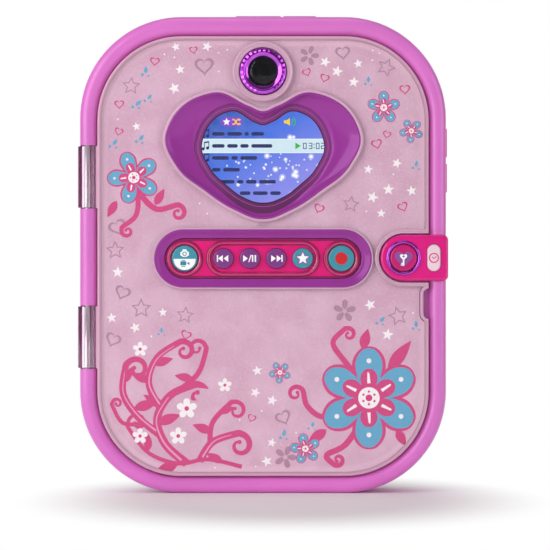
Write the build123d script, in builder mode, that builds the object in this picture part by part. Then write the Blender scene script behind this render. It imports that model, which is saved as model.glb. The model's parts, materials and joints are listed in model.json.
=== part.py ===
from build123d import *
import os

os.makedirs("parts", exist_ok=True)

# Electronic secret diary, standing on its bottom edge. Millimetres. X runs to the right,
# Z up, and the front faces -Y. The origin is the middle of the foot of the whole object.
# Depths are written as "front" values: how far a face lies forward of the middle depth.

# ---- driving sizes -------------------------------------------------------------------
body_width = 173.0
body_height = 225.0
body_depth = 42.0
body_corner = 48.0
rim_side = 8.0
rim_top = 9.0
rim_bottom = 7.8
rim_round = 3.85
rim_front = 19.75
front_shell_depth = 22.0
wall = 2.2
back_wall = 2.0
back_round = 5.0
parting_bevel = 0.35
deck_recess = 5.5
deck_thickness = 2.0

cover_gap = 0.35
cover_proud = 1.0
cover_plate = 2.0
cover_skirt_wall = 1.6
cover_deck_gap = 0.5
cover_edge_round = 0.9
sheet_thickness = 0.4
sheet_gap = 0.05
bezel_proud = 0.25
bezel_lip = 1.0
seat_clearance = 0.1

knuckle_radius = 4.6
knuckle_overhang = 1.0
knuckle_set_back = 4.0
knuckle_length = 29.2
knuckle_spacing = 75.6
knuckle_tab_lap = 2.35
hinge_drop = 1.05
knuckle_clearance = 0.35
pin_radius = 1.65
pin_running_clearance = 0.05
pin_end_seat = 8.1

screen_below_camera = 40.3
screen_width = 57.6
screen_height = 43.2
heart_depth = 3.75
window_thickness = 1.5
window_lap = 3.0

camera_drop = 26.0
camera_ring_radius = 11.0
camera_ring_proud = 3.5
camera_cover_gap = 0.6
camera_ridge_width = 2.65
camera_ridge_height = 0.6
lens_radius = 7.0

strip_heart_gap = 5.0
strip_clasp_gap = 3.95
strip_surround_side = 5.4
strip_surround_top = 4.45
panel_height = 18.1
panel_gap = 0.4
panel_front = 19.25
panel_plate = 2.0
panel_wall = 1.5
ring_margin = 0.85
ring_band = 1.7
ring_inner_gap = 0.45
ring_spacing = 2.25
ring_height = 1.0
button_clearance = 0.2
button_travel = 1.0
button_front = 21.0
flange_thickness = 1.0
flange_lip = 0.85
small_button_gap = 3.0
small_button_margin = 1.3
small_button_count = 4
stem_radius = 2.4

clasp_inset = 20.3
clasp_above_strip = 0.25
clasp_radius = 10.85
clasp_proud = 0.8
clasp_corner = 2.5
clasp_front = 21.75
clasp_wall = 1.8
clasp_round = 1.2
clasp_gap = 0.7
key_button_radius = 6.25
key_ring_radius = 8.25
clock_button_inset = 6.0
clock_button_width = 6.2
clock_button_height = 12.6

storage_side_margin = 12.5
storage_bottom = 18.0
storage_below_strip = 18.8
storage_corner = 26.0
storage_tray_gap = 0.75
tray_wall = 1.5

cell_radius = 7.25
cell_length = 50.5
cell_pitch = 14.8
cell_count = 4
battery_bottom = 31.0
battery_depth = 17.25
battery_wall = 1.5
contact_thickness = 0.6

board_thickness = 1.6
board_front = 2.6
screw_inset = 12.5
low_screw_z = 55.0
middle_screw_above_strip = 19.2
top_screw_inset = 38.5
top_screw_drop = 19.0
boss_radius = 3.5
screw_radius = 1.25
screw_head_radius = 2.5
screw_head_height = 1.8
driver_slot = 0.7
pilot_clearance = 0.05
foot_radius = 5.0
foot_height = 1.0
foot_inset = 26.5
low_foot_z = 30.0
top_foot_drop = 32.0
speaker_above_screen = 1.3
speaker_radius = 18.0

port_front = 5.8
port_depth = 9.6
flap_proud = 1.0
flap_recess = 1.0
flap_clearance = 0.25
flap_seat_gap = 0.05
jack_flap_x = -2.3
jack_flap_width = 21.2
usb_flap_x = 17.35
usb_flap_width = 15.3
jack_bore_radius = 1.8
jack_bore_length = 11.0
socket_gap = 0.1
jack_hole_radius = 3.0
usb_hole_width = 9.4
usb_hole_depth = 4.2
usb_mouth_width = 6.8
usb_mouth_depth = 2.6
usb_mouth_length = 7.0

side_button_length = 14.0
side_button_depth = 5.6
side_button_front = 4.0
lower_side_button_drop = 9.6
upper_side_button_rise = 7.15
side_button_proud = 1.0
side_button_travel = 0.8

# Each heart is a smooth curve through the points of its right half and their mirror image.
# The points stand at (X, height above the screen's centre), and each has the direction in
# degrees in which it moves when the heart grows.
outer_heart = (
    (0.0, 21.5),
    (6.5, 23.9),
    (23.8, 30.2),
    (45.5, 11.9),
    (41.0, -4.1),
    (27.3, -16.1),
    (12.7, -25.4),
    (0.0, -29.4),
)
inner_heart = (
    (0.0, 15.0),
    (4.0, 16.3),
    (15.7, 21.4),
    (28.6, 7.3),
    (24.9, -5.1),
    (17.6, -12.8),
    (8.0, -19.5),
    (0.0, -21.5),
)
outer_heart_angles = (90, 115, 90, 0, -35, -52, -62, -90)
inner_heart_angles = (90, 115, 90, 0, -38, -50, -60, -90)

# ---- places worked out from them -----------------------------------------------------
half_width = body_width / 2
back_face = rim_front - body_depth
parting = rim_front - front_shell_depth
deck_front = rim_front - deck_recess
deck_back = deck_front - deck_thickness
cover_front = rim_front + cover_proud
plate_back = cover_front - cover_plate
skirt_back = deck_front + cover_deck_gap
sheet_front = plate_back - sheet_gap
sheet_back = sheet_front - sheet_thickness
bezel_front = cover_front + bezel_proud
window_front = bezel_front - heart_depth
window_back = window_front - window_thickness
panel_back = panel_front - panel_plate
recess_width = body_width - 2 * rim_side
recess_height = body_height - rim_top - rim_bottom
recess_z = rim_bottom + recess_height / 2
recess_corner = body_corner - rim_side
hinge_x = -half_width - knuckle_overhang + knuckle_radius
hinge_front = rim_front - knuckle_set_back
hinge_z = body_height / 2 - hinge_drop
knuckle_centres = (hinge_z - knuckle_spacing / 2, hinge_z + knuckle_spacing / 2)
pin_length = knuckle_spacing + knuckle_length + 2 * pin_end_seat
camera_z = body_height - camera_drop
screen_z = camera_z - screen_below_camera
heart_tip = screen_z + outer_heart[-1][1]
strip_height = panel_height + 2 * strip_surround_top
strip_z = heart_tip - strip_heart_gap - strip_height / 2
clasp_x = half_width - clasp_inset
clasp_z = strip_z + clasp_above_strip
clasp_right = half_width + clasp_proud
clock_button_x = half_width - clock_button_inset
strip_width = 2 * (clasp_x - clasp_radius - strip_clasp_gap)
panel_width = strip_width - 2 * strip_surround_side
ring_radius = panel_height / 2 - ring_margin
big_button_radius = ring_radius - ring_band - ring_inner_gap
camera_hole_radius = camera_ring_radius + camera_cover_gap
camera_front = rim_front + camera_ring_proud
big_button_x = (panel_width - panel_height) / 2
small_ring_width = 2 * (big_button_x - ring_radius - ring_spacing)
small_buttons_width = small_ring_width - 2 * (ring_band + small_button_margin)
small_gaps = (small_button_count - 1) * small_button_gap
small_button_radius = (small_buttons_width - small_gaps) / small_button_count / 2
small_button_pitch = 2 * small_button_radius + small_button_gap
battery_floor = back_face + battery_depth
storage_floor = battery_floor + battery_wall + storage_tray_gap + tray_wall
storage_top = strip_z - storage_below_strip
storage_half = recess_width / 2 - storage_side_margin
storage_width = 2 * storage_half
storage_height = storage_top - storage_bottom
storage_z = (storage_top + storage_bottom) / 2
board_back = board_front - board_thickness
speaker_z = screen_z + speaker_above_screen
side_button_heights = (screen_z - lower_side_button_drop, screen_z + upper_side_button_rise)
screw_points = []
foot_points = []
for side in (1, -1):
    screw_points.append((side * (half_width - screw_inset), low_screw_z))
    screw_points.append((side * (half_width - screw_inset), strip_z + middle_screw_above_strip))
    screw_points.append((side * (half_width - top_screw_inset), body_height - top_screw_drop))
    foot_points.append((side * (half_width - foot_inset), low_foot_z))
    foot_points.append((side * (half_width - foot_inset), body_height - top_foot_drop))


def facing(front):
    """The sketch plane that faces forward, this far in front of the middle depth."""
    return Plane.XZ.offset(front)


def slab(left, right, low, high, back, front, mode=Mode.ADD):
    """A block between two X, two Z and two front values, in the part being built."""
    with Locations(((left + right) / 2, -(front + back) / 2, (low + high) / 2)):
        Box(right - left, front - back, high - low, mode=mode)


def body_outline(inset=0.0):
    """The rounded outline of the case, in the sketch being drawn."""
    with Locations((0, body_height / 2)):
        RectangleRounded(body_width - 2 * inset, body_height - 2 * inset, body_corner - inset)


def recess_outline(grow=0.0, mode=Mode.ADD):
    """The outline of the recess inside the rim, which the cover fills."""
    with Locations((0, recess_z)):
        RectangleRounded(
            recess_width + 2 * grow, recess_height + 2 * grow, recess_corner + grow, mode=mode
        )


def heart(points, angles, grow=0.0, mode=Mode.ADD):
    """A heart through the listed half outline and its mirror image."""
    half = []
    for (x, rise), angle in zip(points, angles):
        half.append(Vector(x, screen_z + rise) + Vector(grow, 0).rotate(Axis.Z, angle))
    with BuildSketch(Plane.XY, mode=Mode.PRIVATE) as whole:
        with BuildLine():
            Spline(half, tangents=((1, 0), (-1, 0)))
            mirror(about=Plane.YZ)
        make_face()
    add(whole.sketch, mode=mode)


def stadium(width, height, grow=0.0, x=0.0, z=strip_z, mode=Mode.ADD):
    """A flat bar with half-round ends."""
    with Locations((x, z)):
        SlotOverall(width + 2 * grow, height + 2 * grow, mode=mode)


def storage_outline(grow=0.0, mode=Mode.ADD):
    """The mouth of the storage well: square upper corners, wide round lower ones."""
    with BuildSketch(Plane.XY, mode=Mode.PRIVATE) as mouth:
        with Locations((0, storage_z)):
            Rectangle(storage_width + 2 * grow, storage_height + 2 * grow)
        fillet(mouth.vertices().group_by(Axis.Y)[0], storage_corner + grow)
        fillet(mouth.vertices().group_by(Axis.Y)[-1], tray_wall + grow)
    add(mouth.sketch, mode=mode)


def clasp_outline(grow=0.0, right=clasp_right, mode=Mode.ADD):
    """The clasp seen from the front: half-round on the left, straight to the right."""
    with Locations((clasp_x, clasp_z)):
        Circle(clasp_radius + grow, mode=mode)
    with Locations(((clasp_x + right) / 2, clasp_z)):
        Rectangle(right - clasp_x, 2 * (clasp_radius + grow), mode=mode)


def save(piece, name):
    """Labels a finished piece and writes it."""
    piece.part.label = name
    export_step(piece.part, f"parts/{name}.step")


# ---- the case ------------------------------------------------------------------------
side_slot_half = side_button_length / 2 + button_clearance
flap_pocket_depth = port_depth + 2 * flap_clearance
bolt_offset = 1.2
bolt_x = clasp_x - bolt_offset
striker_width = 10.0
striker_left = bolt_x - striker_width / 2
striker_right = bolt_x + striker_width / 2
striker_gap = 0.2
striker_low = clasp_z + clasp_radius + clasp_gap + cover_skirt_wall + striker_gap
striker_thickness = 1.0
striker_slot_gap = 0.7

board_side_margin = 30.5
board_below_strip = 13.8
board_shoulder_below_camera = 9.0
board_half = half_width - board_side_margin
board_low = strip_z - board_below_strip
board_shoulder = camera_z - board_shoulder_below_camera
post_inset = 4.0
low_post_x = board_half - 3.0
top_post_x = board_half - 6.0
post_radius = 2.5
post_screw_radius = 0.9
post_points = []
for side in (1, -1):
    post_points.append((side * low_post_x, board_low + post_inset))
    post_points.append((side * top_post_x, board_shoulder - post_inset))

rail_margin = 1.3
rail_low = side_button_heights[0] - side_button_length / 2 - rail_margin
rail_high = side_button_heights[1] + side_button_length / 2 + rail_margin
rail_thickness = 2.0
channel_height = 4.6
channel_inner_wall = 2.0
hinge_block_back = hinge_front - knuckle_radius - 2.1

with BuildPart() as front_shell:
    with BuildSketch(facing(parting)):
        body_outline()
    extrude(amount=rim_front - parting)
    with BuildSketch(facing(rim_front)):
        recess_outline()
    extrude(amount=deck_front - rim_front, mode=Mode.SUBTRACT)
    fillet(front_shell.faces().sort_by(Axis.Y)[0].edges(), rim_round)
    chamfer(front_shell.faces().sort_by(Axis.Y)[-1].edges(), parting_bevel)
    with BuildSketch(facing(parting)):
        body_outline(inset=wall)
    extrude(amount=deck_back - parting, mode=Mode.SUBTRACT)
    # The rim is a hollow channel, solid beside the hinge.
    with BuildSketch(facing(deck_back)):
        body_outline(inset=wall)
        recess_outline(grow=channel_inner_wall, mode=Mode.SUBTRACT)
        with Locations((-half_width, hinge_z)):
            Rectangle(4 * rim_side, pin_length + 4, mode=Mode.SUBTRACT)
    extrude(amount=channel_height, mode=Mode.SUBTRACT)
    hinge_low = hinge_z - pin_length / 2 - 2
    hinge_high = hinge_z + pin_length / 2 + 2
    block_right = -half_width + rim_side + 1.5
    slab(-half_width + 1, block_right, hinge_low, hinge_high, hinge_block_back, deck_back)
    # Pockets for the cover's knuckles, and the bore that holds their pin.
    for knuckle_z in knuckle_centres:
        with Locations((hinge_x, -hinge_front, knuckle_z)):
            Cylinder(
                knuckle_radius + knuckle_clearance,
                knuckle_length + 2 * knuckle_clearance,
                mode=Mode.SUBTRACT,
            )
    with Locations((hinge_x, -hinge_front, hinge_z)):
        Cylinder(pin_radius, pin_length, mode=Mode.SUBTRACT)
    # Openings in the deck: screen, camera, button strip, storage well and striker.
    with BuildSketch(facing(deck_back)):
        with Locations((0, screen_z)):
            Rectangle(screen_width + 2, screen_height + 2)
        with Locations((0, camera_z)):
            Circle(lens_radius)
        stadium(panel_width, panel_height, grow=-panel_wall - 2)
        storage_outline()
        with Locations(((striker_left + striker_right) / 2, striker_low + striker_thickness / 2)):
            Rectangle(
                striker_right - striker_left + 2 * striker_slot_gap,
                striker_thickness + 2 * striker_slot_gap,
            )
    extrude(amount=deck_thickness, mode=Mode.SUBTRACT)
    # The rim is cut away under the clasp.
    slab(
        half_width - rim_side - 1,
        half_width + 1,
        clasp_z - clasp_radius - seat_clearance,
        clasp_z + clasp_radius + seat_clearance,
        deck_front,
        rim_front + 1,
        mode=Mode.SUBTRACT,
    )
    # Pockets in the top edge for the two port flaps, with the ports below them.
    for flap_x, flap_width in ((jack_flap_x, jack_flap_width), (usb_flap_x, usb_flap_width)):
        slab(
            flap_x - flap_width / 2 - flap_clearance,
            flap_x + flap_width / 2 + flap_clearance,
            body_height - flap_recess,
            body_height + 1,
            port_front - flap_pocket_depth / 2,
            port_front + flap_pocket_depth / 2,
            mode=Mode.SUBTRACT,
        )
    with Locations((jack_flap_x, -port_front, body_height - wall)):
        Cylinder(jack_hole_radius, 2 * wall, mode=Mode.SUBTRACT)
    with Locations((usb_flap_x, -port_front, body_height - wall)):
        Box(usb_hole_width, usb_hole_depth, 2 * wall, mode=Mode.SUBTRACT)
    # Slots for the two side buttons, and rails that hold their circuit board.
    for button_z in side_button_heights:
        slab(
            half_width - wall - 1,
            half_width + 1,
            button_z - side_slot_half,
            button_z + side_slot_half,
            side_button_front - side_button_depth / 2 - button_clearance,
            side_button_front + side_button_depth / 2 + button_clearance,
            mode=Mode.SUBTRACT,
        )
    rail_left = half_width - wall - 6.2
    rail_right = half_width - wall + 0.5
    slab(rail_left, rail_right, rail_low - rail_thickness, rail_low, -1, deck_back)
    slab(rail_left, rail_right, rail_high, rail_high + rail_thickness, -1, deck_back)
    # Screw bosses and the posts that carry the main board.
    with BuildSketch(facing(parting)):
        with Locations(*screw_points):
            Circle(boss_radius)
    extrude(amount=deck_back - parting)
    with BuildSketch(facing(board_front)):
        with Locations(*post_points):
            Circle(post_radius)
    extrude(amount=deck_back - board_front)
    with BuildSketch(facing(parting)):
        with Locations(*screw_points):
            Circle(screw_radius + pilot_clearance)
    extrude(amount=11.0, mode=Mode.SUBTRACT)
    with BuildSketch(facing(board_front)):
        with Locations(*post_points):
            Circle(post_screw_radius + pilot_clearance)
    extrude(amount=6.0, mode=Mode.SUBTRACT)
save(front_shell, "front_shell")

battery_half = cell_count * cell_pitch / 2 + 0.2
battery_top = battery_bottom + cell_length + 2 * contact_thickness + 0.2
door_thickness = 1.2
door_ledge = 1.8
door_gap = 0.2
door_screw_z = battery_top + 6.3
door_top = door_screw_z + 5.0
head_recess = 10.0
rear_boss_radius = boss_radius + 0.5
screw_clearance = 0.3
door_screw_head_radius = 2.6
door_screw_head_height = 0.9
sound_hole_radius = 1.0
sound_hole_spacing = 4.5
sound_hole_ring_count = 3

with BuildPart() as rear_shell:
    with BuildSketch(facing(parting)):
        body_outline()
    extrude(amount=back_face - parting)
    fillet(rear_shell.faces().sort_by(Axis.Y)[-1].edges(), back_round)
    chamfer(rear_shell.faces().sort_by(Axis.Y)[0].edges(), parting_bevel)
    with BuildSketch(facing(parting)):
        body_outline(inset=wall)
    extrude(amount=back_face + back_wall - parting, mode=Mode.SUBTRACT)
    slab(
        -battery_half - battery_wall,
        battery_half + battery_wall,
        battery_bottom - battery_wall,
        battery_top + battery_wall,
        back_face + back_wall,
        battery_floor + battery_wall,
    )
    with BuildSketch(facing(back_face + back_wall)):
        with Locations(*screw_points):
            Circle(rear_boss_radius)
    extrude(amount=parting - back_face - back_wall)
    with BuildSketch(facing(back_face + back_wall)):
        with Locations((0, door_screw_z)):
            Circle(rear_boss_radius)
    extrude(amount=6.0)
    slab(
        -battery_half,
        battery_half,
        battery_bottom,
        battery_top,
        back_face - 1,
        battery_floor,
        mode=Mode.SUBTRACT,
    )
    slab(
        -battery_half - door_ledge - door_gap,
        battery_half + door_ledge + door_gap,
        battery_bottom - door_ledge - door_gap,
        door_top + door_gap,
        back_face - 1,
        back_face + door_thickness,
        mode=Mode.SUBTRACT,
    )
    with BuildSketch(facing(back_face)):
        with Locations(*screw_points):
            Circle(screw_head_radius + 0.3)
    extrude(amount=head_recess, mode=Mode.SUBTRACT)
    with BuildSketch(facing(back_face)):
        with Locations(*screw_points):
            Circle(screw_radius + screw_clearance)
    extrude(amount=body_depth, mode=Mode.SUBTRACT)
    with BuildSketch(facing(back_face)):
        with Locations((0, door_screw_z)):
            Circle(screw_radius + pilot_clearance)
    extrude(amount=back_wall + 5.0, mode=Mode.SUBTRACT)
    # Sound holes in front of the speaker.
    with BuildSketch(facing(back_face)):
        with Locations((0, speaker_z)):
            Circle(sound_hole_radius)
            for ring in range(1, sound_hole_ring_count + 1):
                with PolarLocations(ring * sound_hole_spacing, 6 * ring):
                    Circle(sound_hole_radius)
    extrude(amount=back_wall, mode=Mode.SUBTRACT)
save(rear_shell, "rear_shell")

with BuildPart() as battery_door:
    slab(
        -battery_half - door_ledge,
        battery_half + door_ledge,
        battery_bottom - door_ledge,
        door_top,
        back_face,
        back_face + door_thickness,
    )
    with BuildSketch(facing(back_face)):
        with Locations((0, door_screw_z)):
            Circle(screw_radius + screw_clearance)
    extrude(amount=door_thickness, mode=Mode.SUBTRACT)
    fillet(battery_door.edges().filter_by(Axis.Y).group_by(SortBy.LENGTH)[-1], 1.0)
save(battery_door, "battery_door")

with BuildPart() as battery_door_screw:
    with BuildSketch(facing(back_face)):
        with Locations((0, door_screw_z)):
            Circle(door_screw_head_radius)
    extrude(amount=-door_screw_head_height)
    with BuildSketch(facing(back_face)):
        with Locations((0, door_screw_z)):
            Circle(screw_radius)
    extrude(amount=back_wall + 4.0)
    with BuildSketch(facing(back_face - door_screw_head_height)):
        with Locations((0, door_screw_z)):
            Rectangle(3.4, driver_slot)
            Rectangle(driver_slot, 3.4)
    extrude(amount=0.6, mode=Mode.SUBTRACT)
save(battery_door_screw, "battery_door_screw")

head_seat = back_face + head_recess
with BuildPart() as case_screws:
    with BuildSketch(facing(head_seat)):
        with Locations(*screw_points):
            Circle(screw_head_radius)
    extrude(amount=-screw_head_height)
    with BuildSketch(facing(head_seat)):
        with Locations(*screw_points):
            Circle(screw_radius)
    extrude(amount=parting + 10.0 - head_seat)
    with BuildSketch(facing(head_seat - screw_head_height)):
        with Locations(*screw_points):
            Rectangle(3.0, driver_slot)
            Rectangle(driver_slot, 3.0)
    extrude(amount=1.0, mode=Mode.SUBTRACT)
save(case_screws, "case_screws")

with BuildPart() as rear_feet:
    with BuildSketch(facing(back_face)):
        with Locations(*foot_points):
            Circle(foot_radius)
    extrude(amount=-foot_height)
save(rear_feet, "rear_feet")

with BuildPart() as hinge_pin:
    with Locations((hinge_x, -hinge_front, hinge_z)):
        Cylinder(pin_radius, pin_length)
save(hinge_pin, "hinge_pin")

# ---- the storage well, its notebook and its pen --------------------------------------
ledge_z = 24.5
ledge_thickness = 1.4
ledge_left = -storage_half + 16.0
ledge_right = storage_half - 9.0
divider_left = storage_half - 23.0
divider_thickness = 1.4
divider_height = 9.0
tray_flange = 2.0

with BuildPart() as storage_tray:
    with BuildSketch(facing(storage_floor - tray_wall)):
        storage_outline(grow=tray_wall)
    extrude(amount=deck_back - storage_floor + tray_wall)
    with BuildSketch(facing(deck_back - 1.2)):
        storage_outline(grow=tray_wall + tray_flange)
    extrude(amount=1.2)
    with BuildSketch(facing(storage_floor)):
        storage_outline()
    extrude(amount=deck_back - storage_floor, mode=Mode.SUBTRACT)
    ledge_high = ledge_z + ledge_thickness
    rib_front = storage_floor + divider_height
    slab(ledge_left, ledge_right, ledge_z, ledge_high, storage_floor - 0.5, rib_front)
    divider_right = divider_left + divider_thickness
    slab(divider_left, divider_right, ledge_z, storage_top + 0.5, storage_floor - 0.5, rib_front)
save(storage_tray, "storage_tray")

notebook_left = -storage_half + 10.0
notebook_right = divider_left - 3.0
notebook_low = ledge_high + 0.1
notebook_high = storage_top - 3.0
notebook_thickness = 9.0
notebook_board = 0.8
page_inset = 1.0
notebook_front = storage_floor + notebook_thickness

with BuildPart() as notebook_cover:
    slab(
        notebook_left,
        notebook_right,
        notebook_low,
        notebook_high,
        storage_floor,
        notebook_front,
    )
    slab(
        notebook_left + notebook_board,
        notebook_right + 1,
        notebook_low - 1,
        notebook_high + 1,
        storage_floor + notebook_board,
        notebook_front - notebook_board,
        mode=Mode.SUBTRACT,
    )
save(notebook_cover, "notebook_cover")

with BuildPart() as notebook_pages:
    slab(
        notebook_left + notebook_board,
        notebook_right - page_inset,
        notebook_low + page_inset,
        notebook_high - page_inset,
        storage_floor + notebook_board,
        notebook_front - notebook_board,
    )
save(notebook_pages, "notebook_pages")

pen_radius = 4.5
pen_x = divider_left + divider_thickness + pen_radius + 3.1
pen_low = ledge_high + 0.2
pen_high = storage_top - 5.0
pen_cap_length = 25.0
pen_joint = pen_high - pen_cap_length
nib_radius = 2.2
nib_length = 15.0
pen_front = storage_floor + pen_radius + 0.1

with BuildPart() as pen_barrel:
    with Locations((pen_x, -pen_front, (pen_low + pen_joint) / 2)):
        Cylinder(pen_radius, pen_joint - pen_low)
    fillet(pen_barrel.edges().group_by(Axis.Z)[0], 1.5)
    with Locations((pen_x, -pen_front, pen_joint + nib_length / 2)):
        Cylinder(nib_radius, nib_length)
    chamfer(pen_barrel.edges().group_by(Axis.Z)[-1], 4.0, 1.6)
save(pen_barrel, "pen_barrel")

with BuildPart() as pen_cap:
    with Locations((pen_x, -pen_front, (pen_joint + pen_high) / 2)):
        Cylinder(pen_radius, pen_high - pen_joint)
    fillet(pen_cap.edges().group_by(Axis.Z)[-1], 1.5)
    clip_front = pen_front + pen_radius + 0.6
    slab(pen_x - 1.2, pen_x + 1.2, pen_joint + 4, pen_high - 2, pen_front, clip_front)
    with Locations((pen_x, -pen_front, pen_joint + nib_length / 2 + 0.5)):
        Cylinder(nib_radius + 0.15, nib_length + 1, mode=Mode.SUBTRACT)
save(pen_cap, "pen_cap")

# ---- power and sound -----------------------------------------------------------------
cell_front = battery_floor - 0.2 - cell_radius
cell_low = battery_bottom + contact_thickness + 0.1
nub_length = 1.0

with BuildPart() as aa_cells:
    for index in range(cell_count):
        cell_x = (index - (cell_count - 1) / 2) * cell_pitch
        points_up = index % 2 == 0
        can_low = cell_low if points_up else cell_low + nub_length
        nub_low = cell_low + cell_length - nub_length if points_up else cell_low
        with Locations((cell_x, -cell_front, can_low + (cell_length - nub_length) / 2)):
            Cylinder(cell_radius, cell_length - nub_length)
        with Locations((cell_x, -cell_front, nub_low + nub_length / 2)):
            Cylinder(2.7, nub_length)
save(aa_cells, "aa_cells")

with BuildPart() as battery_contacts:
    for plate_low in (battery_bottom, battery_top - contact_thickness):
        slab(
            -battery_half + 1,
            battery_half - 1,
            plate_low,
            plate_low + contact_thickness,
            cell_front - 5,
            cell_front + 5,
        )
save(battery_contacts, "battery_contacts")

with BuildPart() as speaker:
    with BuildSketch(facing(back_face + back_wall)):
        with Locations((0, speaker_z)):
            Circle(speaker_radius)
    extrude(amount=3.0)
    with BuildSketch(facing(back_face + back_wall + 3.0)):
        with Locations((0, speaker_z)):
            Circle(0.6 * speaker_radius)
    extrude(amount=4.5)
save(speaker, "speaker")

# ---- boards, screen and sockets behind the deck --------------------------------------
tongue_half = 40.0
tongue_high = body_height - 4.0
chip_height = 1.4
chips = (
    (-25.0, board_shoulder - 15.0, 14.0),
    (20.0, board_low + 28.0, 18.0),
    (-28.0, board_low + 23.0, 10.0),
)

with BuildPart() as main_board:
    slab(-board_half, board_half, board_low, board_shoulder, board_back, board_front)
    slab(-tongue_half, tongue_half, board_shoulder - 1, tongue_high, board_back, board_front)
    # Three chips on its back.
    for chip_x, chip_z, chip_size in chips:
        slab(
            chip_x - chip_size / 2,
            chip_x + chip_size / 2,
            chip_z - chip_size / 2,
            chip_z + chip_size / 2,
            board_back - chip_height,
            board_back,
        )
    with BuildSketch(facing(board_back)):
        with Locations(*post_points):
            Circle(post_screw_radius + 0.2)
    extrude(amount=board_thickness, mode=Mode.SUBTRACT)
save(main_board, "main_board")

with BuildPart() as board_screws:
    with BuildSketch(facing(board_back)):
        with Locations(*post_points):
            Circle(1.9)
    extrude(amount=-1.2)
    with BuildSketch(facing(board_back)):
        with Locations(*post_points):
            Circle(post_screw_radius)
    extrude(amount=board_thickness + 5.0)
save(board_screws, "board_screws")

lcd_width = screen_width + 11.6
lcd_height = screen_height + 6.8
lcd_thickness = 2.3
lcd_back = deck_back - lcd_thickness
frame_wall = 3.0
frame_gap = 0.2

with BuildPart() as lcd_module:
    slab(
        -lcd_width / 2,
        lcd_width / 2,
        screen_z - lcd_height / 2,
        screen_z + lcd_height / 2,
        lcd_back,
        deck_back,
    )
save(lcd_module, "lcd_module")

with BuildPart() as lcd_frame:
    with BuildSketch(facing(lcd_back - 1.3)):
        with Locations((0, screen_z)):
            Rectangle(lcd_width + 2 * frame_wall, lcd_height + 2 * frame_wall)
    extrude(amount=lcd_thickness + 1.3)
    with BuildSketch(facing(lcd_back)):
        with Locations((0, screen_z)):
            Rectangle(lcd_width + 2 * frame_gap, lcd_height + 2 * frame_gap)
    extrude(amount=lcd_thickness, mode=Mode.SUBTRACT)
    with BuildSketch(facing(lcd_back - 1.3)):
        with Locations((0, screen_z)):
            Rectangle(lcd_width - 8, lcd_height - 8)
    extrude(amount=1.3, mode=Mode.SUBTRACT)
save(lcd_frame, "lcd_frame")

ribbon_half = 6.0
ribbon_thickness = 0.2
ribbon_low = screen_z - lcd_height / 2 + 8

with BuildPart() as lcd_ribbon:
    ribbon_high = ribbon_low + 9
    ribbon_turn = ribbon_high - ribbon_thickness
    ribbon_back = lcd_back - ribbon_thickness
    slab(-ribbon_half, ribbon_half, ribbon_low, ribbon_high, ribbon_back, lcd_back)
    slab(-ribbon_half, ribbon_half, ribbon_turn, ribbon_high, board_front, lcd_back)
save(lcd_ribbon, "lcd_ribbon")

microphone_x = 30.0
microphone_radius = 3.0
microphone_height = 2.5

with BuildPart() as microphone:
    with BuildSketch(facing(deck_back)):
        with Locations((microphone_x, camera_z)):
            Circle(microphone_radius)
    extrude(amount=-microphone_height)
save(microphone, "microphone")

jack_top = body_height - wall - socket_gap
jack_half = port_front - board_front
jack_half_width = jack_bore_radius + 2.2
usb_half_width = usb_mouth_width / 2 + 0.8

with BuildPart() as audio_jack:
    slab(
        jack_flap_x - jack_half_width,
        jack_flap_x + jack_half_width,
        jack_top - jack_bore_length - 2,
        jack_top,
        board_front,
        port_front + jack_half,
    )
    with Locations((jack_flap_x, -port_front, jack_top - jack_bore_length / 2)):
        Cylinder(jack_bore_radius, jack_bore_length, mode=Mode.SUBTRACT)
save(audio_jack, "audio_jack")

with BuildPart() as usb_socket:
    slab(
        usb_flap_x - usb_half_width,
        usb_flap_x + usb_half_width,
        jack_top - usb_mouth_length - 2,
        jack_top,
        board_front,
        port_front + jack_half,
    )
    slab(
        usb_flap_x - usb_mouth_width / 2,
        usb_flap_x + usb_mouth_width / 2,
        jack_top - usb_mouth_length,
        jack_top + 1,
        port_front - usb_mouth_depth / 2,
        port_front + usb_mouth_depth / 2,
        mode=Mode.SUBTRACT,
    )
save(usb_socket, "usb_socket")

# ---- the camera ----------------------------------------------------------------------
housing_radius = camera_ring_radius - 1.0
housing_front = 19.0
lens_seat = 17.5
lens_gap = 0.3

with BuildPart() as camera_housing:
    with BuildSketch(facing(deck_front)):
        with Locations((0, camera_z)):
            Circle(housing_radius)
    extrude(amount=housing_front - deck_front)
    with BuildSketch(facing(deck_front)):
        with Locations((0, camera_z)):
            Circle(housing_radius + 3)
    extrude(amount=1.0)
    with BuildSketch(facing(lens_seat)):
        with Locations((0, camera_z)):
            Circle(lens_radius + lens_gap)
    extrude(amount=housing_front - lens_seat, mode=Mode.SUBTRACT)
    with BuildSketch(facing(deck_front)):
        with Locations((0, camera_z)):
            Circle(lens_radius - 1.2)
    extrude(amount=lens_seat - deck_front, mode=Mode.SUBTRACT)
save(camera_housing, "camera_housing")

with BuildPart() as camera_lens:
    with BuildSketch(facing(lens_seat)):
        with Locations((0, camera_z)):
            Circle(lens_radius)
    extrude(amount=3.2)
    fillet(camera_lens.faces().sort_by(Axis.Y)[0].edges(), 2.4)
save(camera_lens, "camera_lens")

# The ring steps in from its broad faceted tier to a polished inner cone.
camera_axis = Axis((0, 0, camera_z), (0, 1, 0))
bore = lens_radius + lens_gap
ring_profile = (
    (housing_front, bore),
    (housing_front, camera_ring_radius - 0.6),
    (housing_front + 0.6, camera_ring_radius),
    (camera_front - 2.0, camera_ring_radius),
    (camera_front - 0.5, camera_ring_radius - 1.9),
    (camera_front, camera_ring_radius - 2.0),
    (camera_front, camera_ring_radius - 2.5),
    (housing_front + 1.7, bore),
)

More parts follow.
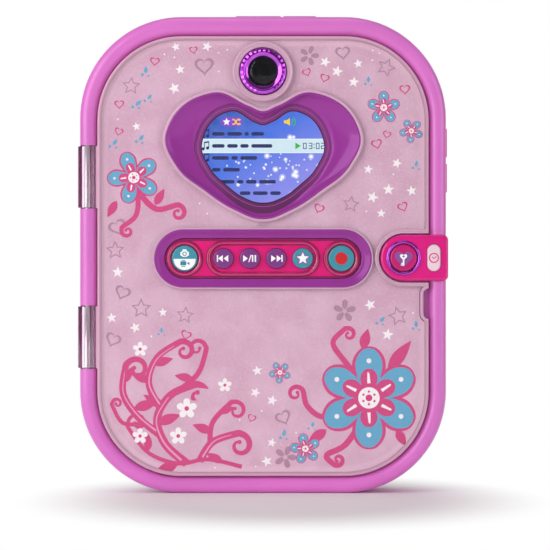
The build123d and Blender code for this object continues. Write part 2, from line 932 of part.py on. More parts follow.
with BuildPart() as camera_ring:
    with BuildSketch(Plane.YZ):
        with BuildLine():
            Polyline([(-front, camera_z + reach) for front, reach in ring_profile], close=True)
        make_face()
    revolve(axis=camera_axis)
save(camera_ring, "camera_ring")

with BuildPart() as camera_board:
    slab(-9, 9, camera_z - 9, camera_z + 9, deck_back - 1.2, deck_back)
    slab(-4, 4, camera_z - 4, camera_z + 4, deck_back, lens_seat - 1.5)
save(camera_board, "camera_board")

# ---- the button strip ----------------------------------------------------------------
strip_buttons = (
    ("camera_button", -big_button_x, big_button_radius),
    ("previous_button", -1.5 * small_button_pitch, small_button_radius),
    ("play_button", -0.5 * small_button_pitch, small_button_radius),
    ("next_button", 0.5 * small_button_pitch, small_button_radius),
    ("star_button", 1.5 * small_button_pitch, small_button_radius),
    ("record_button", big_button_x, big_button_radius),
)
stem_back = deck_front + 0.25
pip_gap = button_travel + 0.1
mat_thickness = 1.0

with BuildPart() as button_panel:
    with BuildSketch(facing(deck_front)):
        stadium(panel_width, panel_height)
    extrude(amount=panel_front - deck_front)
    with BuildSketch(facing(deck_front)):
        stadium(panel_width, panel_height, grow=-panel_wall)
    extrude(amount=panel_back - deck_front, mode=Mode.SUBTRACT)
    # Raised rings around each large button and around the four small ones.
    with BuildSketch(facing(panel_front)):
        for ring_x in (-big_button_x, big_button_x):
            with Locations((ring_x, strip_z)):
                Circle(ring_radius)
                Circle(ring_radius - ring_band, mode=Mode.SUBTRACT)
        stadium(small_ring_width, 2 * ring_radius)
        stadium(small_ring_width, 2 * ring_radius, grow=-ring_band, mode=Mode.SUBTRACT)
    extrude(amount=ring_height)
    fillet(button_panel.faces().group_by(Axis.Y)[0].edges(), 0.45)
    with BuildSketch(facing(panel_back)):
        for _, button_x, cap_radius in strip_buttons:
            with Locations((button_x, strip_z)):
                Circle(cap_radius + button_clearance)
    extrude(amount=panel_plate, mode=Mode.SUBTRACT)
save(button_panel, "button_panel")

for button_name, button_x, cap_radius in strip_buttons:
    with BuildPart() as strip_button:
        with BuildSketch(facing(panel_back)):
            with Locations((button_x, strip_z)):
                Circle(cap_radius)
        extrude(amount=button_front - panel_back)
        fillet(strip_button.faces().sort_by(Axis.Y)[0].edges(), 0.6)
        with BuildSketch(facing(panel_back)):
            with Locations((button_x, strip_z)):
                Circle(cap_radius + flange_lip)
        extrude(amount=-flange_thickness)
        with BuildSketch(facing(panel_back - flange_thickness)):
            with Locations((button_x, strip_z)):
                Circle(stem_radius)
        extrude(amount=stem_back - panel_back + flange_thickness)
    save(strip_button, button_name)

with BuildPart() as keypad_mat:
    with BuildSketch(facing(deck_back)):
        stadium(panel_width, panel_height + 2)
    extrude(amount=-mat_thickness)
    with BuildSketch(facing(deck_back)):
        for _, button_x, _ in strip_buttons:
            with Locations((button_x, strip_z)):
                Circle(stem_radius)
    extrude(amount=stem_back - pip_gap - deck_back)
save(keypad_mat, "keypad_mat")

with BuildPart() as button_board:
    slab(
        -panel_width / 2 - 1,
        panel_width / 2 + 1,
        strip_z - panel_height / 2 - 2.45,
        strip_z + panel_height / 2 + 2.45,
        deck_back - mat_thickness - board_thickness,
        deck_back - mat_thickness,
    )
save(button_board, "button_board")

# ---- the clasp with its two buttons and the latch behind it --------------------------
clasp_plate_back = clasp_front - clasp_wall
key_ring_seat = clasp_front - 0.6
clasp_button_flange = clasp_plate_back - flange_thickness
clasp_stem_back = deck_front + 3.05
clasp_board_front = deck_front + 1.2

with BuildPart() as clasp_housing:
    with BuildSketch(facing(deck_front)) as clasp_sketch:
        clasp_outline()
        fillet(clasp_sketch.vertices().group_by(Axis.X)[-1], clasp_corner)
    extrude(amount=clasp_front - deck_front)
    fillet(clasp_housing.faces().sort_by(Axis.Y)[0].edges(), clasp_round)
    with BuildSketch(facing(deck_front)):
        clasp_outline(grow=-clasp_wall, right=clasp_right - clasp_wall)
    extrude(amount=clasp_plate_back - deck_front, mode=Mode.SUBTRACT)
    with BuildSketch(facing(key_ring_seat)):
        with Locations((clasp_x, clasp_z)):
            Circle(key_ring_radius)
    extrude(amount=clasp_front - key_ring_seat, mode=Mode.SUBTRACT)
    with BuildSketch(facing(clasp_plate_back)):
        with Locations((clasp_x, clasp_z)):
            Circle(key_button_radius + button_clearance)
        with Locations((clock_button_x, clasp_z)):
            SlotOverall(
                clock_button_height + 2 * button_clearance,
                clock_button_width + 2 * button_clearance,
                rotation=90,
            )
    extrude(amount=clasp_wall, mode=Mode.SUBTRACT)
save(clasp_housing, "clasp_housing")

with BuildPart() as clasp_ring:
    with BuildSketch(facing(key_ring_seat)):
        with Locations((clasp_x, clasp_z)):
            Circle(key_ring_radius - 0.03)
            Circle(key_button_radius + button_clearance, mode=Mode.SUBTRACT)
    extrude(amount=1.4)
    fillet(clasp_ring.faces().sort_by(Axis.Y)[0].edges(), 0.55)
save(clasp_ring, "clasp_ring")

with BuildPart() as key_button:
    with BuildSketch(facing(clasp_plate_back)):
        with Locations((clasp_x, clasp_z)):
            Circle(key_button_radius)
    extrude(amount=clasp_wall + 0.6)
    fillet(key_button.faces().sort_by(Axis.Y)[0].edges(), 0.6)
    with BuildSketch(facing(clasp_button_flange)):
        with Locations((clasp_x, clasp_z)):
            Circle(key_button_radius + 1.0)
    extrude(amount=flange_thickness)
    with BuildSketch(facing(clasp_stem_back)):
        with Locations((clasp_x, clasp_z)):
            Circle(stem_radius)
    extrude(amount=clasp_button_flange - clasp_stem_back)
save(key_button, "key_button")

with BuildPart() as clock_button:
    with BuildSketch(facing(clasp_plate_back)):
        with Locations((clock_button_x, clasp_z)):
            SlotOverall(clock_button_height, clock_button_width, rotation=90)
    extrude(amount=clasp_wall + 0.6)
    fillet(clock_button.faces().sort_by(Axis.Y)[0].edges(), 0.6)
    with BuildSketch(facing(clasp_button_flange)):
        with Locations((clock_button_x, clasp_z)):
            SlotOverall(clock_button_height + 1.4, clock_button_width + 1.4, rotation=90)
    extrude(amount=flange_thickness)
    with BuildSketch(facing(clasp_stem_back)):
        with Locations((clock_button_x, clasp_z)):
            Circle(stem_radius)
    extrude(amount=clasp_button_flange - clasp_stem_back)
save(clock_button, "clock_button")

with BuildPart() as clasp_board:
    with BuildSketch(facing(deck_front)):
        clasp_outline(grow=-clasp_wall - 0.3, right=half_width - rim_side)
    extrude(amount=clasp_board_front - deck_front)
    slab(
        half_width - rim_side - 1,
        clock_button_x + 3,
        clasp_z - 6,
        clasp_z + 6,
        deck_front,
        clasp_board_front,
    )
    for switch_x in (clasp_x, clock_button_x):
        slab(
            switch_x - 2.6,
            switch_x + 2.6,
            clasp_z - 2.6,
            clasp_z + 2.6,
            clasp_board_front,
            clasp_stem_back - button_travel - 0.1,
        )
save(clasp_board, "clasp_board")

bolt_width = 4.0
bolt_left = bolt_x - bolt_width / 2
bolt_right = bolt_x + bolt_width / 2
bolt_thickness = 2.0
bolt_front = deck_back - 0.45
bolt_back = bolt_front - bolt_thickness
bolt_tip = striker_low - 0.6
arm_low = clasp_z - 3.05
arm_thickness = 2.0
plunger_front = 5.5
plunger_radius = 2.0
plunger_length = 9.0
plunger_low = arm_low - plunger_length
solenoid_width = 12.0
solenoid_low = storage_top + tray_wall + tray_flange + 0.3
solenoid_high = arm_low - 1.2
guide_low = clasp_z + 3.95
guide_high = bolt_tip - 1.4
guide_gap = 0.15
guide_wall = 2.5

with BuildPart() as latch_bolt:
    slab(bolt_left, bolt_right, arm_low, bolt_tip, bolt_back, bolt_front)
    slab(bolt_left, bolt_right, arm_low, arm_low + arm_thickness, plunger_front - 2, bolt_front)
    with Locations((bolt_x, -plunger_front, (plunger_low + arm_low) / 2)):
        Cylinder(plunger_radius, plunger_length)
save(latch_bolt, "latch_bolt")

with BuildPart() as latch_solenoid:
    slab(
        bolt_x - solenoid_width / 2,
        bolt_x + solenoid_width / 2,
        solenoid_low,
        solenoid_high,
        plunger_front - 6,
        deck_back - 0.05,
    )
    with Locations((bolt_x, -plunger_front, (plunger_low - 1 + solenoid_high) / 2)):
        Cylinder(plunger_radius + 0.1, solenoid_high - plunger_low + 1, mode=Mode.SUBTRACT)
save(latch_solenoid, "latch_solenoid")

with BuildPart() as bolt_guide:
    slab(
        bolt_left - guide_wall,
        bolt_right + guide_wall,
        guide_low,
        guide_high,
        bolt_back - 1.2,
        deck_back,
    )
    slab(
        bolt_left - guide_gap,
        bolt_right + guide_gap,
        guide_low - 1,
        guide_high + 1,
        bolt_back - guide_gap,
        bolt_front + guide_gap,
        mode=Mode.SUBTRACT,
    )
save(bolt_guide, "bolt_guide")

# ---- the side buttons and the port flaps ---------------------------------------------
side_flange_right = half_width - wall
side_flange_left = side_flange_right - 1.0
side_stem_left = side_flange_left - 0.8
switch_right = side_stem_left - side_button_travel - 0.1
side_board_right = switch_right - 0.9

for button_name, button_z in zip(("side_button_lower", "side_button_upper"), side_button_heights):
    with BuildPart() as side_button:
        slab(
            side_flange_left,
            half_width + side_button_proud,
            button_z - side_button_length / 2,
            button_z + side_button_length / 2,
            side_button_front - side_button_depth / 2,
            side_button_front + side_button_depth / 2,
        )
        fillet(side_button.faces().sort_by(Axis.X)[-1].edges(), 0.8)
        slab(
            side_flange_left,
            side_flange_right,
            button_z - side_button_length / 2 - 0.8,
            button_z + side_button_length / 2 + 0.8,
            side_button_front - side_button_depth / 2 - 1,
            side_button_front + side_button_depth / 2 + 1,
        )
        slab(
            side_stem_left,
            side_flange_left,
            button_z - 1.5,
            button_z + 1.5,
            side_button_front - 1.5,
            side_button_front + 1.5,
        )
    save(side_button, button_name)

with BuildPart() as side_switch_board:
    slab(
        side_board_right - 1.2,
        side_board_right,
        rail_low,
        rail_high,
        side_button_front - 4,
        side_button_front + 4,
    )
    for button_z in side_button_heights:
        slab(
            side_board_right,
            switch_right,
            button_z - 2.2,
            button_z + 2.2,
            side_button_front - 2.2,
            side_button_front + 2.2,
        )
save(side_switch_board, "side_switch_board")

# Each flap turns about the axis of the round along its rear edge.
flap_thickness = flap_recess - flap_seat_gap + flap_proud
flap_low = body_height - flap_recess + flap_seat_gap
flap_round = flap_thickness / 2
flap_back = port_front - port_depth / 2
flap_axis_front = flap_back + flap_round
flap_axis_z = flap_low + flap_round

for flap_name, flap_x, flap_width in (
    ("jack_cover", jack_flap_x, jack_flap_width),
    ("usb_cover", usb_flap_x, usb_flap_width),
):
    with BuildPart() as port_flap:
        slab(
            flap_x - flap_width / 2,
            flap_x + flap_width / 2,
            flap_low,
            flap_low + flap_thickness,
            flap_axis_front,
            port_front + port_depth / 2,
        )
        fillet(port_flap.faces().sort_by(Axis.Y)[0].edges().sort_by(Axis.Z)[-1], 0.9)
        with Locations(Location((flap_x, -flap_axis_front, flap_axis_z), (0, 90, 0))):
            Cylinder(flap_round, flap_width)
    save(port_flap, flap_name)

# ---- the see-through cover -----------------------------------------------------------
cover_grow = -cover_gap
notch_grow = clasp_gap
finger_notch_length = 14.4
finger_notch_z = clasp_z - 21.55
finger_notch_reach = 2.5
notch_edge = half_width - rim_side - cover_gap
knuckle_tab_right = -half_width + rim_side + cover_gap + knuckle_tab_lap
heart_flange = 2.2
strip_flange = 1.3
far_right = half_width + 5

with BuildPart() as cover_shell:
    with BuildSketch(facing(skirt_back)):
        recess_outline(grow=cover_grow)
        clasp_outline(grow=notch_grow, right=far_right, mode=Mode.SUBTRACT)
    extrude(amount=cover_front - skirt_back)
    with BuildSketch(facing(skirt_back)):
        with Locations((notch_edge, finger_notch_z)):
            SlotOverall(finger_notch_length, 2 * finger_notch_reach, rotation=90)
    extrude(amount=cover_front - skirt_back, mode=Mode.SUBTRACT)
    fillet(cover_shell.faces().sort_by(Axis.Y)[0].edges(), cover_edge_round)
    with BuildSketch(facing(skirt_back)):
        recess_outline(grow=cover_grow - cover_skirt_wall)
        clasp_outline(grow=notch_grow + cover_skirt_wall, right=far_right, mode=Mode.SUBTRACT)
        with Locations((notch_edge, finger_notch_z)):
            SlotOverall(
                finger_notch_length + 2 * cover_skirt_wall,
                2 * (finger_notch_reach + cover_skirt_wall),
                rotation=90,
                mode=Mode.SUBTRACT,
            )
    extrude(amount=plate_back - skirt_back, mode=Mode.SUBTRACT)
    # A low round ridge runs around the camera hole.
    with BuildSketch(facing(plate_back)):
        with Locations((0, camera_z)):
            Circle(camera_hole_radius + camera_ridge_width)
    extrude(amount=cover_plate + camera_ridge_height)
    with BuildSketch(facing(plate_back)):
        with Locations((0, camera_z)):
            Circle(camera_hole_radius)
        heart(outer_heart, outer_heart_angles, grow=bezel_lip + seat_clearance)
        stadium(strip_width, strip_height, grow=seat_clearance)
    extrude(amount=cover_plate + 2, mode=Mode.SUBTRACT)
    # Knuckles that turn on the hinge pin, each with a tab on the cover's front.
    for knuckle_z in knuckle_centres:
        with Locations((hinge_x, -hinge_front, knuckle_z)):
            Cylinder(knuckle_radius, knuckle_length)
        slab(
            hinge_x,
            knuckle_tab_right,
            knuckle_z - knuckle_length / 2,
            knuckle_z + knuckle_length / 2,
            plate_back,
            hinge_front + knuckle_radius,
        )
    with Locations((hinge_x, -hinge_front, hinge_z)):
        Cylinder(pin_radius + pin_running_clearance, pin_length, mode=Mode.SUBTRACT)
save(cover_shell, "cover_shell")

sheet_inset = cover_skirt_wall + 0.3
with BuildPart() as glitter_sheet:
    with BuildSketch(facing(sheet_back)):
        recess_outline(grow=cover_grow - sheet_inset)
        clasp_outline(grow=notch_grow + sheet_inset, right=far_right, mode=Mode.SUBTRACT)
        with Locations((notch_edge, finger_notch_z)):
            SlotOverall(
                finger_notch_length + 2 * sheet_inset,
                2 * (finger_notch_reach + sheet_inset),
                rotation=90,
                mode=Mode.SUBTRACT,
            )
        with Locations((0, camera_z)):
            Circle(camera_hole_radius + 0.5, mode=Mode.SUBTRACT)
        heart(outer_heart, outer_heart_angles, grow=heart_flange + 0.15, mode=Mode.SUBTRACT)
        stadium(strip_width, strip_height, grow=strip_flange + 0.15, mode=Mode.SUBTRACT)
    extrude(amount=sheet_thickness)
save(glitter_sheet, "glitter_sheet")

with BuildPart() as heart_bezel:
    with BuildSketch(facing(window_front)):
        heart(outer_heart, outer_heart_angles, grow=bezel_lip)
    extrude(amount=bezel_front - window_front)
    with BuildSketch(facing(window_front)):
        heart(outer_heart, outer_heart_angles, grow=heart_flange)
    extrude(amount=plate_back - window_front)
    with BuildSketch(facing(window_front)):
        heart(inner_heart, inner_heart_angles)
    with BuildSketch(facing(bezel_front)):
        heart(outer_heart, outer_heart_angles)
    loft(mode=Mode.SUBTRACT)
save(heart_bezel, "heart_bezel")

with BuildPart() as heart_window:
    with BuildSketch(facing(window_back)):
        heart(inner_heart, inner_heart_angles, grow=window_lap)
    extrude(amount=window_thickness)
save(heart_window, "heart_window")

strip_back = plate_back - 1.5
with BuildPart() as strip_bezel:
    with BuildSketch(facing(strip_back)):
        stadium(strip_width, strip_height)
    extrude(amount=bezel_front - strip_back)
    with BuildSketch(facing(strip_back)):
        stadium(strip_width, strip_height, grow=strip_flange)
    extrude(amount=plate_back - strip_back)
    with BuildSketch(facing(strip_back)):
        stadium(panel_width, panel_height, grow=panel_gap)
    extrude(amount=bezel_front - strip_back, mode=Mode.SUBTRACT)
    with BuildSketch(facing(plate_back)):
        stadium(panel_width, panel_height, grow=panel_gap)
    with BuildSketch(facing(bezel_front)):
        stadium(strip_width, strip_height, grow=-bezel_lip)
    loft(mode=Mode.SUBTRACT)
save(strip_bezel, "strip_bezel")

striker_foot = 6.5
striker_tab_back = bolt_back - 2.0

with BuildPart() as striker_plate:
    striker_tab_top = striker_low + striker_thickness
    slab(
        striker_left,
        striker_right,
        striker_low,
        striker_low + striker_foot,
        sheet_back - striker_thickness,
        sheet_back,
    )
    slab(
        striker_left,
        striker_right,
        striker_low,
        striker_tab_top,
        striker_tab_back,
        sheet_back,
    )
    slab(
        bolt_left - 0.4,
        bolt_right + 0.4,
        striker_low - 1,
        striker_tab_top + 1,
        bolt_back - 0.4,
        bolt_front + 0.4,
        mode=Mode.SUBTRACT,
    )
save(striker_plate, "striker_plate")
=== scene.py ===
"""Electronic secret diary, dressed around its construction model. Metres; X right, Z up, front to -Y."""
import json
import math
import random
from types import SimpleNamespace

import bmesh
import bpy
from mathutils import Matrix, Vector


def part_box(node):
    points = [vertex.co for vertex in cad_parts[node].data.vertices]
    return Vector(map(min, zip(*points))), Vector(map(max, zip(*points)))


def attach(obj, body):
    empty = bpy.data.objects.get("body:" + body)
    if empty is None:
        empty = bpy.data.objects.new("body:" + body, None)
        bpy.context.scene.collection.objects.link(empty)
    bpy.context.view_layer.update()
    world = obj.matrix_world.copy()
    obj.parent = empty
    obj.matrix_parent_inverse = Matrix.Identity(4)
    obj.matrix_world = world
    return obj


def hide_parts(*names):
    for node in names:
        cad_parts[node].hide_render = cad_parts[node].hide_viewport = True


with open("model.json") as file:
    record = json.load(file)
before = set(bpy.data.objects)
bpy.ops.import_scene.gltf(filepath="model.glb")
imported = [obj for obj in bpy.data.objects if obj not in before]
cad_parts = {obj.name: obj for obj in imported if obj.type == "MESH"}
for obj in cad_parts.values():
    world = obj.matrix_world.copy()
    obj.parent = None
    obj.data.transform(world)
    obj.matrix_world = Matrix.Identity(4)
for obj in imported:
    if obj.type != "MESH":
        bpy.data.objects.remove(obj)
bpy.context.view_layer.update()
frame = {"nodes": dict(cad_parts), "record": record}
bpy.ops.object.select_all(action="DESELECT")

MM = 0.001


# ---- sizes, in millimetres, read from the frame --------------------------------------
def extent(name):
    """Where a construction piece lies, in millimetres. front counts forward from the middle depth."""
    low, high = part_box(name)
    return SimpleNamespace(
        left=low.x / MM, right=high.x / MM, low=low.z / MM, high=high.z / MM,
        front=-low.y / MM, back=-high.y / MM,
        x=(low.x + high.x) / 2 / MM, z=(low.z + high.z) / 2 / MM,
        width=(high.x - low.x) / MM, height=(high.z - low.z) / MM,
    )


case = extent("front_shell")
cover = extent("cover_shell")
sheet = extent("glitter_sheet")
screen = extent("lcd_module")
camera = extent("camera_ring")
panel = extent("button_panel")
clasp = extent("clasp_housing")
key = extent("key_button")
clock = extent("clock_button")


def at(x, front, z):
    """A point from its X, how far forward it is, and its height, all in millimetres."""
    return Vector((x, -front, z)) * MM


# ---- camera, floor and light ---------------------------------------------------------
image_side = 550
photo_mm_per_pixel = 0.472
photo_centre_x = 5.66
photo_centre_z = 103.0
lens_mm = 200.0
sensor_mm = 36.0
view_width = image_side * photo_mm_per_pixel
view_distance = view_width * lens_mm / sensor_mm


def place_camera():
    """A long lens, level and square to the front."""
    data = bpy.data.cameras.new("long_lens")
    data.lens = lens_mm
    data.sensor_width = sensor_mm
    data.clip_start = 0.05
    data.clip_end = 20.0
    camera_object = bpy.data.objects.new("camera", data)
    bpy.context.scene.collection.objects.link(camera_object)
    camera_object.location = at(photo_centre_x, sheet.front + view_distance, photo_centre_z)
    camera_object.rotation_euler = (math.radians(90), 0, 0)
    bpy.context.scene.camera = camera_object


def linear(code):
    """A colour written as sRGB hex, in the linear values that shaders take."""
    channels = [int(code[i : i + 2], 16) / 255 for i in (1, 3, 5)]
    return (*[c / 12.92 if c <= 0.04045 else ((c + 0.055) / 1.055) ** 2.4 for c in channels], 1.0)


def add(tree, kind, inputs=None, **settings):
    """Adds a node. An input is given a value, or another node's output to take it from."""
    node = tree.nodes.new(kind)
    for name, value in settings.items():
        setattr(node, name, value)
    for name, value in (inputs or {}).items():
        if isinstance(value, bpy.types.NodeSocket):
            tree.links.new(value, node.inputs[name])
        else:
            node.inputs[name].default_value = value
    return node


# ---- materials -----------------------------------------------------------------------
materials = {}


def shade(code, share):
    """A written colour made this many times as bright."""
    r, g, b, _ = linear(code)
    return (r * share, g * share, b * share, 1.0)


def finish(name, **sockets):
    """A named material with one shader, whose plain values sit on the shader's own sockets."""
    material = bpy.data.materials.new(name)
    material.use_nodes = True
    tree = material.node_tree
    tree.nodes.clear()
    shader = add(tree, "ShaderNodeBsdfPrincipled")
    for socket, value in sockets.items():
        shader.inputs[socket.replace("_", " ")].default_value = value
    add(tree, "ShaderNodeOutputMaterial", {"Surface": shader.outputs[0]})
    place = add(tree, "ShaderNodeTexCoord").outputs["Object"]
    materials[name] = material
    return tree, shader, place


def per_mm(size):
    """The scale at which a pattern on Object coordinates repeats about every size millimetres."""
    return 1.0 / (size * MM)


def speckle(tree, place, size, low, high, detail=2.0):
    """Soft noise with spots of this size in millimetres, spread from a low to a high value."""
    noise = add(tree, "ShaderNodeTexNoise", {"Vector": place, "Scale": per_mm(size), "Detail": detail})
    spread = add(
        tree, "ShaderNodeMapRange",
        {"Value": noise.outputs["Fac"], "From Min": 0.25, "From Max": 0.75, "To Min": low, "To Max": high},
        interpolation_type="SMOOTHSTEP",
    )
    return spread.outputs["Result"]


def blend(tree, share, first, second):
    """Two colours mixed by a share."""
    mix = add(tree, "ShaderNodeMix", data_type="RGBA")
    for socket, value in ((0, share), (6, first), (7, second)):
        if isinstance(value, bpy.types.NodeSocket):
            tree.links.new(value, mix.inputs[socket])
        else:
            mix.inputs[socket].default_value = value
    return mix.outputs[2]


def bump(tree, shader, height, depth_mm):
    """Raises the surface by this many millimetres where the height is 1."""
    lift = add(tree, "ShaderNodeBump", {"Height": height, "Distance": depth_mm * MM, "Strength": 1.0})
    tree.links.new(lift.outputs["Normal"], shader.inputs["Normal"])


def moulded(name, code, roughness, grain_mm=0.5, depth_mm=0.003, **sockets):
    """Injection-moulded plastic: an even colour that drifts a little with the melt's flow, and the
    fine grain of a spark-eroded mould, which breaks up its gloss. The grain is drawn about twice
    as coarse as the real one so that it shows."""
    tree, shader, place = finish(name, **sockets)
    flow = speckle(tree, place, 30.0, 0.0, 1.0)
    tree.links.new(blend(tree, flow, shade(code, 0.95), shade(code, 1.05)), shader.inputs["Base Color"])
    tree.links.new(
        speckle(tree, place, 9.0, roughness * 0.88, roughness * 1.12), shader.inputs["Roughness"]
    )
    bump(tree, shader, speckle(tree, place, grain_mm, 0.0, 1.0), depth_mm)


def make_mouldings():
    """The opaque mouldings, each for its own pieces."""
    # High-gloss ABS from a polished mould, with fine mica in it: clean soft highlights.
    moulded("case_abs", "#e478d2", 0.32, Coat_Weight=0.25, Coat_Roughness=0.12)
    # Purple ABS with a violet pearl in it, which tints its highlights.
    moulded(
        "purple_abs", "#9b3b99", 0.24, depth_mm=0.0015, Coat_Weight=0.35, Coat_Roughness=0.08,
        Specular_Tint=linear("#cf6ade"),
    )
    moulded("magenta_abs", "#ee0080", 0.24, depth_mm=0.001, Coat_Weight=0.8, Coat_Roughness=0.05)
    # The bands are lacquered with a clear wine tint: darker, with bright streaks on their bends.
    moulded(
        "lacquered_abs", "#c00a66", 0.14, depth_mm=0.0006, Coat_Weight=1.0, Coat_IOR=1.7,
        Coat_Roughness=0.04,
    )
    moulded("rose_abs", "#cc0f76", 0.24, depth_mm=0.0015, Coat_Weight=0.5, Coat_Roughness=0.06)
    moulded("hot_pink_abs", "#e60e86", 0.24, depth_mm=0.002, Coat_Weight=0.3, Coat_Roughness=0.10)
    moulded("teal_abs", "#429aaf", 0.24, depth_mm=0.0015, Coat_Weight=0.3, Coat_Roughness=0.08)
    moulded("purple_cap_abs", "#83388b", 0.24, depth_mm=0.0015, Coat_Weight=0.3, Coat_Roughness=0.08)
    moulded("pale_abs", "#f6dbe5", 0.32, depth_mm=0.0015, Coat_Weight=0.2, Coat_Roughness=0.12)
    moulded("tray_abs", "#d98ac0", 0.38, grain_mm=0.7, depth_mm=0.006)
    # Polyamide and ABS inside the case, left as they come from the mould: dull and grained.
    moulded("black_polyamide", "#17161a", 0.45, grain_mm=0.8, depth_mm=0.008)
    # Styrene rubber feet and silicone keypad: no gloss, slightly powdery.
    moulded("styrene_rubber", "#6d6069", 0.75, grain_mm=0.6, depth_mm=0.010)
    moulded("silicone_rubber", "#c4bcc2", 0.60, grain_mm=0.9, depth_mm=0.005)


def make_metals():
    """Plated and drawn metals."""
    # ABS vacuum-metallised and lacquered purple: a mirror under a thin tinted coat.
    tree, shader, place = finish("metallised_abs", Metallic=1.0, Coat_Weight=0.6, Coat_Roughness=0.03)
    tint = speckle(tree, place, 4.0, 0.0, 1.0)
    tree.links.new(blend(tree, tint, linear("#b345cf"), linear("#c455dd")), shader.inputs["Base Color"])
    tree.links.new(speckle(tree, place, 2.0, 0.10, 0.15), shader.inputs["Roughness"])

    # Nickel-plated steel, drawn along its length: grey with fine lines across its highlights.
    tree, shader, place = finish("nickel_steel", Metallic=1.0)
    drawn = add(tree, "ShaderNodeMapping", {"Vector": place, "Scale": (1.0, 1.0, 0.05)})
    lines = speckle(tree, drawn.outputs["Vector"], 0.4, 0.0, 1.0)
    tree.links.new(blend(tree, lines, linear("#a3a3aa"), linear("#bdbdc4")), shader.inputs["Base Color"])
    tree.links.new(speckle(tree, place, 1.5, 0.17, 0.26), shader.inputs["Roughness"])

    # A steel battery can in a printed plastic sleeve: dark body, brighter at its ends.
    tree, shader, place = finish("printed_cell_sleeve", Roughness=0.3, Metallic=0.4)
    band = speckle(tree, place, 25.0, 0.0, 1.0)
    tree.links.new(blend(tree, band, linear("#2b3242"), linear("#3c4558")), shader.inputs["Base Color"])


def beyond_sheet(tree, place):
    """How far a point lies beyond the sheet's rounded outline, in metres."""
    corner = 37.75
    middle = Vector((sheet.x, 0, sheet.z)) * MM
    reach = Vector((sheet.width / 2 - corner, 1000, sheet.height / 2 - corner)) * MM
    steps = (("SUBTRACT", middle), ("ABSOLUTE", None), ("SUBTRACT", reach), ("MAXIMUM", Vector()))
    for operation, value in steps:
        inputs = {0: place} if value is None else {0: place, 1: value}
        place = add(tree, "ShaderNodeVectorMath", inputs, operation=operation).outputs["Vector"]
    away = add(tree, "ShaderNodeVectorMath", {0: place}, operation="LENGTH").outputs["Value"]
    return add(tree, "ShaderNodeMath", {0: away, 1: corner * MM}, operation="SUBTRACT").outputs[0]


def make_clears():
    """The see-through mouldings, which let light pass by their alpha."""
    # Polycarbonate from a polished mould, tinted a little pink by the case behind it. Its faces
    # are nearly gone and its edges, seen along the wall, turn milky.
    for name, code, face, edge, gloss in (
        ("clear_polycarbonate", "#f4c9df", 0.05, 0.70, 0.07),
        ("clear_window", "#dfe4f5", 0.02, 0.50, 0.03),
        ("smoked_window", "#121318", 0.35, 0.80, 0.03),
    ):
        tree, shader, place = finish(name, IOR=1.58)
        flow = speckle(tree, place, 40.0, 0.0, 1.0)
        tree.links.new(blend(tree, flow, shade(code, 0.97), linear(code)), shader.inputs["Base Color"])
        tree.links.new(speckle(tree, place, 6.0, gloss, gloss * 1.5), shader.inputs["Roughness"])
        rim = add(tree, "ShaderNodeLayerWeight", {"Blend": 0.25})
        thick = add(
            tree, "ShaderNodeMapRange",
            {"Value": rim.outputs["Facing"], "From Min": 0.35, "To Min": face, "To Max": edge},
        )
        tree.links.new(thick.outputs["Result"], shader.inputs["Alpha"])
        if name == "clear_polycarbonate":
            # The border beyond the sheet is blasted in the mould, so that it turns milky.
            beyond = beyond_sheet(tree, place)
            border = add(
                tree, "ShaderNodeMapRange",
                {"Value": beyond, "From Min": -0.1 * MM, "From Max": 0.1 * MM, "To Max": 0.78},
            )
            # Painted shade and highlight: a dusky line where the step round the sheet shows through it,
            # with a pale painted highlight outside it.
            reach = add(
                tree, "ShaderNodeMapRange",
                {"Value": beyond, "From Min": -1.0 * MM, "From Max": 2.0 * MM},
            )
            lines = add(tree, "ShaderNodeValToRGB", {"Fac": reach.outputs["Result"]})
            stops = lines.color_ramp.elements
            stops[0].position, stops[0].color = 0.30, linear(code)
            stops[1].position, stops[1].color = 0.66, linear("#f0bcd8")
            for position, tint in ((0.36, "#d2aac0"), (0.50, "#d2aac0")):
                stops.new(position).color = linear(tint)
            tree.links.new(lines.outputs["Color"], shader.inputs["Base Color"])
            milky = add(
                tree, "ShaderNodeMath", {0: border.outputs["Result"], 1: thick.outputs["Result"]},
                operation="MAXIMUM",
            )
            # The knuckles stay clear, and their sleeves show the plastic's thickness.
            across = add(tree, "ShaderNodeSeparateXYZ", {"Vector": place})
            flat = add(
                tree, "ShaderNodeMapRange",
                {"Value": across.outputs["X"], "From Min": -78.9 * MM, "From Max": -78.5 * MM},
            )
            shown = add(
                tree, "ShaderNodeMath", {0: milky.outputs[0], 1: flat.outputs["Result"]},
                operation="MULTIPLY",
            )
            tree.links.new(shown.outputs[0], shader.inputs["Alpha"])


def make_glass():
    """Thick clear polycarbonate, which bends what lies behind it into bright and dark bands."""
    tree, shader, place = finish(
        "thick_polycarbonate", IOR=1.58, Roughness=0.02, Transmission_Weight=1.0
    )
    flow = speckle(tree, place, 12.0, 0.0, 1.0)
    tree.links.new(blend(tree, flow, linear("#f3dfe9"), linear("#f8eaf1")), shader.inputs["Base Color"])


def make_frosting():
    """Polycarbonate from a blasted part of the mould: milky, and a little pink from below."""
    moulded("frosted_polycarbonate", "#d7adc5", 0.38, grain_mm=0.4, depth_mm=0.002, Coat_Weight=0.3)


